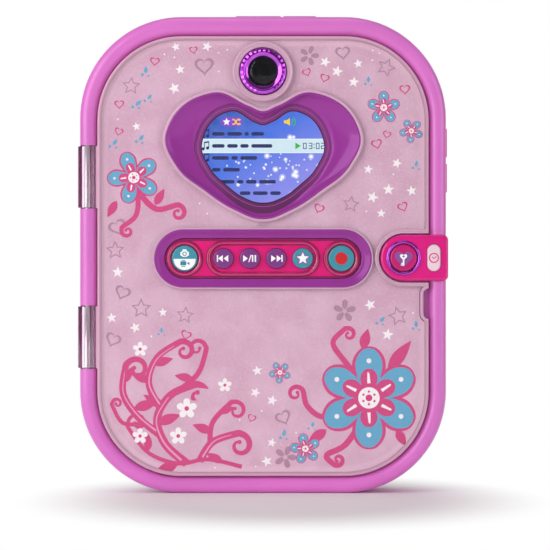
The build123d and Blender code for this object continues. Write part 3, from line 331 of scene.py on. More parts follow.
def make_film():
    """PET film, back-coated with pearl and fine glitter. The glitter is drawn at 0.5 mm, several
    times the real flake, so that single flakes show."""
    tree, shader, place = finish("glitter_film", Metallic=0.15, Coat_Weight=0.5, Coat_Roughness=0.10)
    cloud = speckle(tree, place, 14.0, 0.0, 1.0)
    pearl = blend(tree, cloud, linear("#e2b6ce"), linear("#eec9de"))
    flakes = add(tree, "ShaderNodeTexVoronoi", {"Vector": place, "Scale": per_mm(0.5)})
    tone = add(tree, "ShaderNodeSeparateColor", {"Color": flakes.outputs["Color"]})
    bright = add(
        tree, "ShaderNodeMapRange",
        {"Value": tone.outputs["Red"], "From Min": 0.80, "From Max": 1.0, "To Max": 0.40},
    )
    lit = blend(tree, bright.outputs["Result"], pearl, linear("#fcecf5"))
    dark = add(
        tree, "ShaderNodeMapRange",
        {"Value": tone.outputs["Green"], "From Min": 0.75, "From Max": 1.0, "To Max": 0.22},
    )
    speckled = blend(tree, dark.outputs["Result"], lit, linear("#c398b2"))
    # Painted light: near its edge the film is lightened, standing in for light that runs in through the
    # cover's rim.
    rim = add(
        tree, "ShaderNodeMapRange",
        {"Value": beyond_sheet(tree, place), "From Min": -3.4 * MM, "From Max": -0.6 * MM,
         "To Max": 0.90},
    )
    tree.links.new(
        blend(tree, rim.outputs["Result"], speckled, linear("#ffdaee")), shader.inputs["Base Color"]
    )
    tree.links.new(speckle(tree, place, 0.7, 0.29, 0.45), shader.inputs["Roughness"])


def make_inks():
    """Screen-printed inks: flat, slightly uneven where the mesh laid them down. Some of them paint light:
    plum and wine paint shade, rose a highlight, and the white one has a faint painted glow.
    """
    for name, code in (
        ("hot_pink_ink", "#e02f84"), ("aqua_ink", "#52b9dd"), ("white_ink", "#ffffff"),
        ("ghost_ink", "#b890a7"), ("purple_ink", "#8d56a2"), ("red_ink", "#d8202b"),
        ("teal_ink", "#2f8fa8"), ("rose_highlight_ink", "#b455b2"), ("blush_ink", "#f7a9d0"),
        ("plum_shade_ink", "#65215f"), ("black_ink", "#1d1020"), ("wine_shade_ink", "#8c0f55"),
    ):
        tree, shader, place = finish(name)
        mesh = speckle(tree, place, 0.8, 0.0, 1.0)
        tone = blend(tree, mesh, shade(code, 0.96), linear(code))
        if name == "plum_shade_ink":
            # Painted shade: dark plum at the window's tip, where the funnel's bottom lies in shadow,
            # running to purple up its sides.
            split = add(tree, "ShaderNodeSeparateXYZ", {"Vector": place})
            thin = add(
                tree, "ShaderNodeMapRange",
                {"Value": split.outputs["Z"], "From Min": (screen.z - 20) * MM,
                 "From Max": (screen.z - 4) * MM},
            )
            tone = blend(tree, thin.outputs["Result"], tone, linear("#86357f"))
        tree.links.new(tone, shader.inputs["Base Color"])
        tree.links.new(speckle(tree, place, 3.0, 0.30, 0.42), shader.inputs["Roughness"])
        if name == "white_ink":
            # Painted glow: it gives back a little more light than falls on it, as its brightener would.
            shader.inputs["Emission Color"].default_value = linear(code)
            shader.inputs["Emission Strength"].default_value = 0.08


def make_electronics():
    """Boards, paper and card."""
    # Glass-epoxy board under solder mask: a faint woven glint in the green.
    tree, shader, place = finish("solder_mask", Roughness=0.32)
    weave = add(tree, "ShaderNodeTexBrick", {"Vector": place, "Scale": per_mm(2.0)})
    weave.inputs["Color1"].default_value = linear("#1f6a3b")
    weave.inputs["Color2"].default_value = linear("#237544")
    weave.inputs["Mortar"].default_value = linear("#1a5a32")
    tree.links.new(weave.outputs["Color"], shader.inputs["Base Color"])

    # A stack of uncoated paper: sheet edges as fine lines along its depth.
    tree, shader, place = finish("uncoated_paper", Roughness=0.85)
    leaves = add(tree, "ShaderNodeMapping", {"Vector": place, "Scale": (0.02, 1.0, 0.02)})
    edges = speckle(tree, leaves.outputs["Vector"], 0.5, 0.0, 1.0)
    tree.links.new(blend(tree, edges, linear("#e4dfd4"), linear("#f6f3ea")), shader.inputs["Base Color"])

    # Laminated card, with the soft mottle of its board showing through the film.
    tree, shader, place = finish("laminated_card", Roughness=0.28, Coat_Weight=0.5)
    mottle = speckle(tree, place, 1.6, 0.0, 1.0)
    tree.links.new(blend(tree, mottle, linear("#9a5aa6"), linear("#a865b3")), shader.inputs["Base Color"])


def make_screen():
    """A lit liquid-crystal screen: its own light, in a picture that runs from deep blue at the top
    left to violet at the lower right, with soft sparkles."""
    tree, shader, place = finish("lit_screen", Roughness=0.2, Emission_Strength=1.0)
    shader.inputs["Base Color"].default_value = linear("#05060c")
    split = add(tree, "ShaderNodeSeparateXYZ", {"Vector": place})
    across = add(
        tree, "ShaderNodeMapRange",
        {"Value": split.outputs["X"], "From Min": screen.left * MM, "From Max": screen.right * MM},
    )
    up = add(
        tree, "ShaderNodeMapRange",
        {"Value": split.outputs["Z"], "From Min": screen.high * MM, "From Max": screen.low * MM},
    )
    slant = add(
        tree, "ShaderNodeMath",
        {0: across.outputs["Result"], 1: up.outputs["Result"]}, operation="ADD",
    )
    half = add(tree, "ShaderNodeMath", {0: slant.outputs[0], 1: 0.5}, operation="MULTIPLY")
    ramp = add(tree, "ShaderNodeValToRGB", {"Fac": half.outputs[0]})
    ramp.color_ramp.elements[0].color = linear("#143a80")
    ramp.color_ramp.elements[1].color = linear("#b3a2f4")
    middle = ramp.color_ramp.elements.new(0.42)
    middle.color = linear("#3a70e2")
    haze = speckle(tree, place, 6.0, 0.0, 0.35, detail=3.0)
    soft = blend(tree, haze, ramp.outputs["Color"], linear("#6f7fe6"))
    tree.links.new(soft, shader.inputs["Emission Color"])


def make_screen_lights():
    """The screen's own marks: each a patch of light in one colour, slightly soft in its level."""
    for name, code in (
        ("lit_white", "#ffffff"), ("lit_ice", "#d4ecf6"), ("lit_sky", "#eef8fc"), ("lit_navy", "#0e1a5e"),
        ("lit_lilac", "#a9b2f6"), ("lit_green", "#35b53a"), ("lit_yellow", "#ffd21e"),
        ("lit_violet", "#8a3fd0"),
    ):
        tree, shader, place = finish(name, Roughness=0.3, Emission_Strength=1.0)
        shader.inputs["Base Color"].default_value = linear("#05060c")
        level = speckle(tree, place, 5.0, 0.0, 1.0)
        tree.links.new(
            blend(tree, level, shade(code, 0.94), linear(code)), shader.inputs["Emission Color"]
        )


make_mouldings()
make_metals()
make_clears()
make_glass()
make_frosting()
make_film()
make_inks()
make_electronics()
make_screen()
make_screen_lights()

slot_finish = {
    "case_pink": "case_abs", "clear_cover": "clear_polycarbonate", "glitter_print": "glitter_film",
    "purple_plastic": "purple_abs", "magenta_plastic": "magenta_abs",
    "hot_pink_plastic": "hot_pink_abs", "teal_plastic": "teal_abs",
    "purple_button": "purple_cap_abs", "pale_plastic": "pale_abs",
    "plated_purple": "metallised_abs", "lens_black": "smoked_window",
    "window_clear": "clear_window", "screen": "lit_screen", "steel": "nickel_steel",
    "rubber": "styrene_rubber", "silicone": "silicone_rubber", "board_green": "solder_mask",
    "black_plastic": "black_polyamide", "tray_pink": "tray_abs", "paper": "uncoated_paper",
    "card": "laminated_card", "cell_can": "printed_cell_sleeve",
}


def dress(piece, name):
    """Gives a piece one finish."""
    piece.data.materials.clear()
    piece.data.materials.append(materials[name])


for row in frame["record"]["subparts"]:
    dress(frame["nodes"][row["node"]], slot_finish[row["material_slot"]])


# ---- making pieces -------------------------------------------------------------------
def settle(piece, name, finish_name, body, smooth=35.0):
    """Names, shades and dresses a finished piece, and hands it to the body that carries it."""
    piece.name = name
    piece.data.name = name
    bpy.ops.object.select_all(action="DESELECT")
    piece.select_set(True)
    bpy.context.view_layer.objects.active = piece
    if smooth:
        bpy.ops.object.shade_smooth_by_angle(angle=math.radians(smooth))
    piece.select_set(False)
    dress(piece, finish_name)
    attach(piece, body)
    return piece


def loft(loops, closed=False, capped=True):
    """A circle moved onto the first loop and extruded from loop to loop. A closed one ends on its
    first loop, as a ring does, and an open one is capped."""
    bpy.ops.object.select_all(action="DESELECT")
    fill = "NOTHING" if closed or not capped else "NGON"
    bpy.ops.mesh.primitive_circle_add(vertices=len(loops[0]), radius=MM, fill_type=fill)
    piece = bpy.context.object
    mesh = bmesh.new()
    mesh.from_mesh(piece.data)
    mesh.verts.ensure_lookup_table()
    for vertex, place in zip(mesh.verts, loops[0]):
        vertex.co = place
    mesh.to_mesh(piece.data)
    mesh.free()
    bpy.ops.object.mode_set(mode="EDIT")
    bpy.ops.mesh.select_all(action="SELECT")
    steps = loops[1:] + ([loops[0]] if closed else [])
    last = {tuple(v.co): i for i, v in enumerate(piece.data.vertices)}
    for loop in steps:
        bpy.ops.mesh.extrude_edges_move(TRANSFORM_OT_translate={"value": (0, 0, 0)})
        mesh = bmesh.from_edit_mesh(piece.data)
        fresh = {}
        for vertex in mesh.verts:
            if vertex.select:
                index = last[tuple(vertex.co)]
                vertex.co = loop[index]
                fresh[tuple(vertex.co)] = index
        last = fresh
        bmesh.update_edit_mesh(piece.data)
    if capped and not closed:
        bpy.ops.mesh.edge_face_add()
    bpy.ops.mesh.select_all(action="SELECT")
    bpy.ops.mesh.remove_doubles(threshold=0.0005 * MM)
    bpy.ops.mesh.normals_make_consistent(inside=False)
    bpy.ops.object.mode_set(mode="OBJECT")
    return piece


def round_loop(radius, front, x, z, count=96, turn=0.0):
    """A circle that faces forward."""
    return [
        at(
            x + radius * math.cos(2 * math.pi * (i + turn) / count), front,
            z + radius * math.sin(2 * math.pi * (i + turn) / count),
        )
        for i in range(count)
    ]


def bar_loop(width, height, front, x, z, count=48):
    """A flat bar with half-round ends, the same number of points round each end."""
    reach, radius = (width - height) / 2, height / 2
    points = []
    for side in (1, -1):
        for i in range(count + 1):
            angle = math.pi * (i / count - 0.5)
            points.append(
                at(
                    x + side * (reach + radius * math.cos(angle)), front,
                    z + side * radius * math.sin(angle),
                )
            )
    return points


# ---- outlines in X and Z, in millimetres, drawn about the screen's centre or a given place ----
outer_heart = (
    (0.0, 21.5), (6.5, 23.9), (23.8, 30.2), (45.5, 11.9), (41.0, -4.1), (27.3, -16.1),
    (12.7, -25.4), (0.0, -29.4),
)
inner_heart = (
    (0.0, 15.0), (4.0, 16.3), (15.7, 21.4), (28.6, 7.3), (24.9, -5.1), (17.6, -12.8),
    (8.0, -19.5), (0.0, -21.5),
)


def smooth_ring(points, steps=12):
    """A closed smooth curve through the points, as a list of X and Z."""
    data = bpy.data.curves.new("outline", "CURVE")
    data.dimensions = "2D"
    data.fill_mode = "NONE"
    data.resolution_u = steps
    spline = data.splines.new("BEZIER")
    spline.bezier_points.add(len(points) - 1)
    for knot, (x, z) in zip(spline.bezier_points, points):
        knot.co = (x, z, 0)
        knot.handle_left_type = knot.handle_right_type = "AUTO"
    spline.use_cyclic_u = True
    holder = bpy.data.objects.new("outline", data)
    bpy.context.scene.collection.objects.link(holder)
    bpy.context.view_layer.update()
    mesh = bpy.data.meshes.new_from_object(holder.evaluated_get(bpy.context.evaluated_depsgraph_get()))
    ring = [(v.co.x, v.co.y) for v in mesh.vertices]
    bpy.data.meshes.remove(mesh)
    bpy.data.objects.remove(holder)
    bpy.data.curves.remove(data)
    return ring


def heart_ring(half):
    """The half outline with its mirror image, smoothed."""
    return smooth_ring(list(half) + [(-x, z) for x, z in reversed(half[1:-1])])


def grown(ring, grow):
    """A ring moved outwards along its own normals."""
    count = len(ring)
    out = []
    for i, (x, z) in enumerate(ring):
        (xa, za), (xb, zb) = ring[i - 1], ring[(i + 1) % count]
        along = math.hypot(xb - xa, zb - za)
        out.append((x - grow * (zb - za) / along, z + grow * (xb - xa) / along))
    return out


def between(first, second, share):
    """A ring part of the way from one ring to another."""
    return [
        (a + (c - a) * share, b + (d - b) * share) for (a, b), (c, d) in zip(first, second)
    ]


def ring_loop(ring, front, x=0.0, z=0.0):
    """A ring of X and Z as a loop that faces forward."""
    return [at(x + a, front, z + b) for a, b in ring]


def disc(x, z, radius, count=40):
    """A circle's outline."""
    return [
        (x + radius * math.cos(2 * math.pi * i / count), z + radius * math.sin(2 * math.pi * i / count))
        for i in range(count)
    ]


def heart(x, z, width, turn=0.0, count=32):
    """A plain heart."""
    ring = []
    for i in range(count):
        t = 2 * math.pi * i / count
        tall = 13 * math.cos(t) - 5 * math.cos(2 * t) - 2 * math.cos(3 * t) - math.cos(4 * t)
        ring.append((-16 * math.sin(t) ** 3, tall))
    return turned(ring, x, z, turn, width / 32)


def star(x, z, radius, points=5, waist=0.42, turn=0.0):
    """A star with straight sides."""
    out = []
    for i in range(2 * points):
        reach = radius if i % 2 == 0 else radius * waist
        angle = math.radians(90 + turn) + math.pi * i / points
        out.append((x + reach * math.cos(angle), z + reach * math.sin(angle)))
    return out


def turned(ring, x, z, angle, size=1.0):
    """A ring drawn about the origin, turned by degrees, scaled and moved to its place."""
    c, s = math.cos(math.radians(angle)) * size, math.sin(math.radians(angle)) * size
    return [(x + a * c - b * s, z + a * s + b * c) for a, b in ring]


def leaf(x, z, length, width, angle):
    """A pointed leaf that grows from its stem end at X, Z."""
    side = [
        (length * i / 10, width / 2 * math.sin(math.pi * (i / 10) ** 0.8)) for i in range(11)
    ]
    return turned(side + [(a, -b) for a, b in reversed(side[1:-1])], x, z, angle)


def petal(x, z, length, width, angle, base=0.0):
    """A round-ended petal that starts base away from the flower's middle."""
    ring = smooth_ring(
        [(base, 0), (base + 0.45 * length, -0.42 * width), (base + 0.85 * length, -0.34 * width),
         (base + length, 0), (base + 0.85 * length, 0.34 * width), (base + 0.45 * length, 0.42 * width)],
        steps=5,
    )
    return turned(ring, x, z, angle)


def smooth_path(points, steps):
    """A smooth open line through the points, with this many steps from one to the next."""
    path = []
    count = len(points)
    for i in range(count - 1):
        a, b = points[max(i - 1, 0)], points[i]
        c, d = points[i + 1], points[min(i + 2, count - 1)]
        for j in range(steps + (i == count - 2)):
            t = j / steps
            path.append(
                tuple(
                    0.5 * (2 * q + (r - p) * t + (2 * p - 5 * q + 4 * r - s) * t * t
                           + (3 * q - p - 3 * r + s) * t ** 3)
                    for p, q, r, s in zip(a, b, c, d)
                )
            )
    return path


def stroke(points, start, end, steps=8):
    """A smooth line through the points whose width runs from start to end."""
    path = smooth_path(points, steps)
    left, right = [], []
    for i, (x, z) in enumerate(path):
        (xa, za), (xb, zb) = path[max(i - 1, 0)], path[min(i + 1, len(path) - 1)]
        along = math.hypot(xb - xa, zb - za)
        half = (start + (end - start) * i / (len(path) - 1)) / 2
        nx, nz = -(zb - za) / along * half, (xb - xa) / along * half
        left.append((x + nx, z + nz))
        right.append((x - nx, z - nz))
    return left + right[::-1]


def swept(path, section):
    """A closed section, as pairs of out and front, carried along a path in X and Z."""
    loops = []
    for i, (x, z) in enumerate(path):
        (xa, za), (xb, zb) = path[max(i - 1, 0)], path[min(i + 1, len(path) - 1)]
        along = math.hypot(xb - xa, zb - za)
        nx, nz = -(zb - za) / along, (xb - xa) / along
        loops.append([at(x + nx * out, front, z + nz * out) for out, front in section])
    return loft(loops)


def arc_path(x, z, radius, start, end, step=7.5):
    """Points of an arc about X, Z, from one angle to another in degrees."""
    count = max(1, round(abs(end - start) / step))
    return [
        (x + radius * math.cos(math.radians(start + (end - start) * i / count)),
         z + radius * math.sin(math.radians(start + (end - start) * i / count)))
        for i in range(count + 1)
    ]


def box_ring(left, low, right, high):
    """A rectangle's outline."""
    return [(left, low), (right, low), (right, high), (left, high)]


def pill(x, z, width, height, count=12):
    """A flat bar with round ends, as an outline."""
    reach, radius = (width - height) / 2, height / 2
    return [
        (x + side * (reach + radius * math.cos(a)), z + side * radius * math.sin(a))
        for side in (1, -1)
        for a in [math.pi * (i / count - 0.5) for i in range(count + 1)]
    ]


# ---- prints and icons ----------------------------------------------------------------
ink_thickness = 0.002
ink_step = 0.003


def inside(point, ring):
    """Whether a point lies in a ring."""
    x, z = point
    hit = False
    for (xa, za), (xb, zb) in zip(ring, ring[1:] + ring[:1]):
        if (za > z) != (zb > z) and x < (xb - xa) * (z - za) / (zb - za) + xa:
            hit = not hit
    return hit


def overlap(first, second):
    """Whether two rings cover some of the same place."""
    for axis in (0, 1):
        a, b = [p[axis] for p in first], [p[axis] for p in second]
        if max(a) < min(b) or max(b) < min(a):
            return False
    return any(inside(p, second) for p in first) or any(inside(p, first) for p in second)


def printed(name, outlines, front, ink, body):
    """A thin layer of ink. Each outline is filled, and one that crosses an earlier one lies a
    little above it. A tuple of outlines is one shape with holes."""
    bpy.ops.object.select_all(action="DESELECT")
    layers, laid = [], []
    for outline in outlines:
        rings = outline if isinstance(outline, tuple) else (outline,)
        taken = {level for ring, level in laid if overlap(rings[0], ring)}
        level = min(set(range(len(taken) + 1)) - taken)
        laid.append((rings[0], level))
        data = bpy.data.curves.new(name, "CURVE")
        data.dimensions = "2D"
        data.fill_mode = "BOTH"
        data.extrude = ink_thickness / 2
        for ring in rings:
            spline = data.splines.new("POLY")
            spline.points.add(len(ring) - 1)
            for point, (x, z) in zip(spline.points, ring):
                point.co = (x, z, 0, 1)
            spline.use_cyclic_u = True
        layer = bpy.data.objects.new(name, data)
        layer.location.z = ink_step * level
        bpy.context.scene.collection.objects.link(layer)
        layer.select_set(True)
        layers.append(layer)
    bpy.context.view_layer.objects.active = layers[0]
    bpy.ops.object.convert(target="MESH")
    bpy.ops.object.transform_apply()
    if len(layers) > 1:
        bpy.ops.object.join()
    piece = bpy.context.view_layer.objects.active
    upright = Matrix(((1, 0, 0, 0), (0, 0, -1, -front), (0, 1, 0, 0), (0, 0, 0, 1)))
    piece.data.transform(Matrix.Scale(MM, 4) @ upright)
    bpy.ops.object.mode_set(mode="EDIT")
    bpy.ops.mesh.select_all(action="SELECT")
    bpy.ops.mesh.remove_doubles(threshold=0.0005 * MM)
    bpy.ops.mesh.normals_make_consistent(inside=False)
    bpy.ops.object.mode_set(mode="OBJECT")
    return settle(piece, name, ink, body, smooth=None)


# ---- the heart bezel and its rim -----------------------------------------------------
outer_ring = heart_ring(outer_heart)
inner_ring = heart_ring(inner_heart)
bezel = extent("heart_bezel")
window = extent("heart_window")
cover_face = bezel.front - 0.25
step_front = window.front + 0.35
step_width = 3.9


def lowered(ring, drop=1.3):
    """A ring round the window whose lower part sags, most of all at the tip."""
    return [(x, z - drop * (max(0.0, -z) / 22) ** 2) for x, z in ring]


def make_heart_bezel():
    """A lip on the cover, a hollow funnel down to a step, and the wall round the window."""
    top = bezel.front
    step_ring = lowered(grown(inner_ring, step_width))
    profile = [
        (grown(outer_ring, 1.3), sheet.front - 0.7),
        (grown(outer_ring, 1.3), sheet.front - 0.1),
        (grown(outer_ring, 0.0), cover_face + 0.03),
        (grown(outer_ring, -0.15), top - 0.10),
        (grown(outer_ring, -0.40), top),
        (grown(outer_ring, -0.75), top),
        (grown(outer_ring, -1.10), top - 0.20),
    ]
    lip_ring = grown(outer_ring, -0.9)
    # The funnel falls steeply at first and runs out flat before the step.
    for share in (0.12, 0.28, 0.46, 0.64, 0.82, 1.0):
        drop = 1 - (1 - share) ** 1.9
        profile.append(
            (between(lip_ring, step_ring, share), top - 0.35 - drop * (top - step_front - 1.05))
        )
    profile += [
        (lowered(grown(inner_ring, step_width - 0.3)), step_front + 0.50),
        (lowered(grown(inner_ring, step_width - 0.5)), step_front),
        (grown(inner_ring, 0.15), step_front - 0.10),
        (inner_ring, step_front - 0.20),
        (inner_ring, window.front),
        (grown(inner_ring, 2.0), window.front),
        (grown(outer_ring, -2.0), window.front + 0.35),
    ]
    piece = loft([ring_loop(ring, front, z=screen.z) for ring, front in profile], closed=True)
    settle(piece, "heart_funnel", "purple_abs", "cover")
    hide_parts("heart_bezel")


def sheet_fold(inner, outer):
    """The section of a folded edge of the sheet, as steps outwards with the front of each."""
    low, high = sheet.front - 0.05, sheet.front + 0.02
    return ((outer, low), (outer, high), (inner, high), (inner, low))


def make_heart_rim():
    """The cover's own raised bead round the heart, and the sheet's folded edge beneath it."""
    profile = (
        (1.30, cover_face - 0.02), (1.22, cover_face + 0.12), (0.95, cover_face + 0.26),
        (0.40, cover_face + 0.30), (0.08, cover_face + 0.20), (-0.05, cover_face - 0.02),
    )
    piece = loft(
        [ring_loop(grown(outer_ring, grow), front, z=screen.z) for grow, front in profile],
        closed=True,
    )
    settle(piece, "heart_bead", "frosted_polycarbonate", "cover")
    fold = [ring_loop(grown(outer_ring, grow), front, z=screen.z) for grow, front in sheet_fold(1.25, 2.9)]
    settle(loft(fold, closed=True), "heart_fold", "glitter_film", "cover")


make_heart_bezel()
make_heart_rim()


# ---- the camera ----------------------------------------------------------------------
facets = 28


def make_camera_ring():
    """An outer tier cut into diamonds, a groove, and a smooth inner tier that falls to the lens."""
    def circle(radius, front):
        return round_loop(radius, front, camera.x, camera.z, count=2 * facets)

    top = camera.front
    loops = [circle(10.30, camera.back), circle(10.85, camera.back + 0.8), circle(10.90, top - 1.30)]
    # A row of diamonds: every second point of its middle loop stands out.
    loops.append(circle(10.62, top - 0.95))
    high, low = circle(10.05, top - 0.34), circle(9.95, top - 0.90)
    loops.append([high[i] if i % 2 else low[i] for i in range(2 * facets)])
    loops.append(circle(9.38, top - 0.50))
    # A groove, a narrow crown, and the wide inner slope that throws the light back.
    for radius, drop in (
        (9.16, 0.66), (9.10, 0.90), (9.02, 0.34), (8.90, 0.10), (8.74, 0.0), (8.60, 0.03),
        (8.20, 0.19), (7.80, 0.36), (7.45, 0.51), (7.22, 0.66), (7.10, 1.10), (7.05, 2.40),
    ):
        loops.append(circle(radius, top - drop))
    loops.append(circle(7.05, camera.back))
    piece = loft(loops, closed=True)
    settle(piece, "faceted_ring", "metallised_abs", "base", smooth=13.0)
    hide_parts("camera_ring")


def make_lens():
    """A barrel that steps down to the pupil, under a slightly domed front lens."""
    lens = extent("camera_lens")
    profile = (
        (6.95, lens.back), (6.95, lens.front), (6.45, lens.front), (6.30, lens.front - 0.35),
        (5.50, lens.front - 0.45), (5.40, lens.front - 0.90), (4.55, lens.front - 1.00),
        (4.45, lens.front - 1.45), (3.30, lens.front - 1.55), (3.10, lens.front - 1.95),
        (1.60, lens.front - 1.80), (0.60, lens.front - 1.70),
    )
    piece = loft([round_loop(radius, front, lens.x, lens.z, 72) for radius, front in profile])
    settle(piece, "lens_barrel", "black_polyamide", "base")
    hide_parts("camera_lens")
    dome = loft(
        [
            round_loop(6.9 * math.cos(a), lens.front - 0.1 + 1.3 * math.sin(a), lens.x, lens.z, 72)
            for a in [math.radians(10 * i) for i in range(9)] + [math.radians(87)]
        ]
    )
    settle(dome, "lens_front", "smoked_window", "base")


def make_camera_bead():
    """The raised bead of the cover round the camera, doubled by a fine step."""
    inner = camera.width / 2 + 0.3
    profile = (
        (0.0, 0.0), (0.05, 0.20), (0.35, 0.34), (1.00, 0.40), (1.45, 0.26), (1.65, 0.30),
        (2.00, 0.58), (2.40, 0.62), (2.75, 0.42), (2.95, 0.0),
    )
    loops = [
        round_loop(inner + out, cover_face + 0.02 + rise, camera.x, camera.z, 96)
        for out, rise in profile
    ]
    piece = loft(loops, closed=True)
    settle(piece, "camera_bead", "frosted_polycarbonate", "cover")


# The housing shows as a line round the ring.
dress(frame["nodes"]["camera_housing"], "purple_abs")
make_camera_ring()
make_lens()
make_camera_bead()


# ---- the button strip ----------------------------------------------------------------
strip = extent("strip_bezel")


def make_strip_bezel():
    """The purple surround: a rounded bank that falls to the panel, with the cover's bead round it."""
    lip = strip.front
    plate = panel.front - 1.0
    wide, tall = 102.0, 26.8
    inner_wide, inner_tall = panel.width + 0.8, panel.height + 0.8
    profile = [
        (wide + 0.6, tall + 0.6, sheet.front - 0.7),
        (wide + 0.6, tall + 0.6, cover_face + 0.02),
        (wide + 0.4, tall + 0.4, lip - 0.12),
        (wide, tall, lip),
        (wide - 0.8, tall - 0.8, lip),
    ]
    for share in (0.15, 0.35, 0.6, 0.85, 1.0):
        drop = 1 - (1 - share) ** 1.7
        profile.append(
            (
                wide - 1.4 + (inner_wide + 1.0 - wide + 1.4) * share,
                tall - 1.4 + (inner_tall + 1.0 - tall + 1.4) * share,
                lip - 0.2 - drop * (lip - plate - 0.6),
            )
        )
    profile += [
        (inner_wide + 0.2, inner_tall + 0.2, plate + 0.2),
        (inner_wide, inner_tall, plate - 0.2),
        (inner_wide, inner_tall, strip.back),
        (wide - 2.0, tall - 2.0, strip.back),
    ]
    loops = [bar_loop(w, h, front, strip.x, strip.z) for w, h, front in profile]
    piece = loft(loops, closed=True)
    settle(piece, "strip_surround", "purple_abs", "cover")
    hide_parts("strip_bezel")
    bead = [
        bar_loop(wide + out, tall + out, cover_face + rise, strip.x, strip.z)
        for out, rise in ((0.60, -0.02), (0.70, 0.10), (1.2, 0.16), (1.9, 0.08), (2.0, -0.02))
    ]
    settle(loft(bead, closed=True), "strip_bead", "frosted_polycarbonate", "cover")
    fold = [
        bar_loop(wide + 2 * out, tall + 2 * out, front, strip.x, strip.z)
        for out, front in sheet_fold(0.75, 2.4)
    ]
    settle(loft(fold, closed=True), "strip_fold", "glitter_film", "cover")


def make_bands():
    """Raised bands round the outer buttons and round the four inner ones."""
    base = panel.front - 0.95
    crown = (
        (0.10, 0.0), (0.05, 0.90), (-0.20, 1.25), (-0.75, 1.40), (-1.30, 1.25), (-1.60, 0.90),
        (-1.70, 0.0),
    )
    for name, x in (("left_band", -panel_reach), ("right_band", panel_reach)):
        loops = [round_loop(8.2 + out, base + rise, x, panel.z, 72) for out, rise in crown]
        settle(loft(loops, closed=True), name, "lacquered_abs", "base")
    loops = [
        bar_loop(53.0 + 2 * out, 16.4 + 2 * out, base + rise, panel.x, panel.z, 32)
        for out, rise in crown
    ]
    settle(loft(loops, closed=True), "middle_band", "lacquered_abs", "base")
    # Painted shade: a dark line at the foot of each band and round the panel's edge, where shadow falls.
    rings = [
        (disc(side * panel_reach, panel.z, 8.65, 72), disc(side * panel_reach, panel.z, 8.2, 72))
        for side in (-1, 1)
    ]
    rings.append((pill(panel.x, panel.z, 53.9, 17.3, 32), pill(panel.x, panel.z, 53.0, 16.4, 32)))
    rings.append((pill(panel.x, panel.z, 49.8, 13.2, 32), pill(panel.x, panel.z, 49.0, 12.4, 32)))
    rings.append(
        (pill(panel.x, panel.z, panel.width - 0.2, panel.height - 0.2, 32),
         pill(panel.x, panel.z, panel.width - 1.7, panel.height - 1.7, 32))
    )
    printed("band_shade_lines", rings, panel.front - 0.99, "wine_shade_ink", "base")


panel_reach = (panel.width - panel.height) / 2
make_strip_bezel()
make_bands()


# ---- the hinge -----------------------------------------------------------------------
pin = extent("hinge_pin")
knuckle_spacing = 75.6
knuckle_length = 29.2


def make_knuckles():
    """The thick clear walls of the cover's two knuckles, round the pin."""
    middle = (pin.low + pin.high) / 2
    depth = (pin.front + pin.back) / 2
    for name, side in (("lower_sleeve", -1), ("upper_sleeve", 1)):
        centre = middle + side * knuckle_spacing / 2
        half = knuckle_length / 2 - 0.02
        loops = []
        for radius, rise in (
            (4.35, -half), (4.62, -half + 0.3), (4.62, half - 0.3), (4.35, half), (1.85, half),
            (1.75, half - 0.2), (1.75, -half + 0.2), (1.85, -half),
        ):
            loops.append(
                [
                    at(pin.x + radius * math.cos(2 * math.pi * i / 64),
                       depth + radius * math.sin(2 * math.pi * i / 64), centre + rise)
                    for i in range(64)
                ]
            )
        settle(loft(loops, closed=True), name, "thick_polycarbonate", "cover")


make_knuckles()


# ---- the clasp -----------------------------------------------------------------------
def make_clasp_ring():
    """A plated ring with a rolled crown that falls to the key button."""
    ring = extent("clasp_ring")
    crown = [
        (7.45 + 0.78 * math.cos(math.radians(a)), ring.front - 0.85 + 0.85 * math.sin(math.radians(a)))
        for a in range(0, 171, 17)
    ]
    profile = [(8.22, ring.back)] + crown + [(6.60, ring.front - 1.15), (6.55, ring.back)]
    loops = [round_loop(radius, front, ring.x, ring.z, 96) for radius, front in profile]
    piece = loft(loops, closed=True)
    settle(piece, "plated_ring", "metallised_abs", "base", smooth=28.0)
    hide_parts("clasp_ring")


def make_clasp_bead():
    """The cover's milky border along the clasp, with a low bead on it, and the border round the
    finger notch."""
    corner = 2.2
    edge = cover.right - 0.12

    def round_clasp(middle):
        bend = cover.right - corner - 1.0
        path = [(edge, key.z + middle + 0.05), (bend, key.z + middle)]
        path += arc_path(key.x, key.z, middle, 90, 270)
        return path + [(bend, key.z - middle), (edge, key.z - middle - 0.05)]

    notch = 3.30
    high, low = clasp.z - 16.9, clasp.z - 26.2
    round_notch = arc_path(cover.right, high, notch, 94, 180) + arc_path(cover.right, low, notch, 180, 266)
    for name, path, width, rise in (
        ("clasp_border", round_clasp(12.55), 1.80, 0.08), ("clasp_bead", round_clasp(12.85), 0.80, 0.35),
        ("notch_border", round_notch, 1.50, 0.10), ("notch_bead", round_notch, 0.55, 0.25),
    ):
        half, foot = width / 2, cover_face + 0.02
        section = [
            (-half, foot), (half, foot), (half, foot + rise * 0.4), (half * 0.6, foot + rise * 0.85),
            (0.0, foot + rise), (-half * 0.6, foot + rise * 0.85), (-half, foot + rise * 0.4),
        ]
        settle(swept(path, section), name, "frosted_polycarbonate", "cover")


# The key button is a deeper tone than the clasp round it.
dress(frame["nodes"]["key_button"], "rose_abs")
make_clasp_ring()
make_clasp_bead()


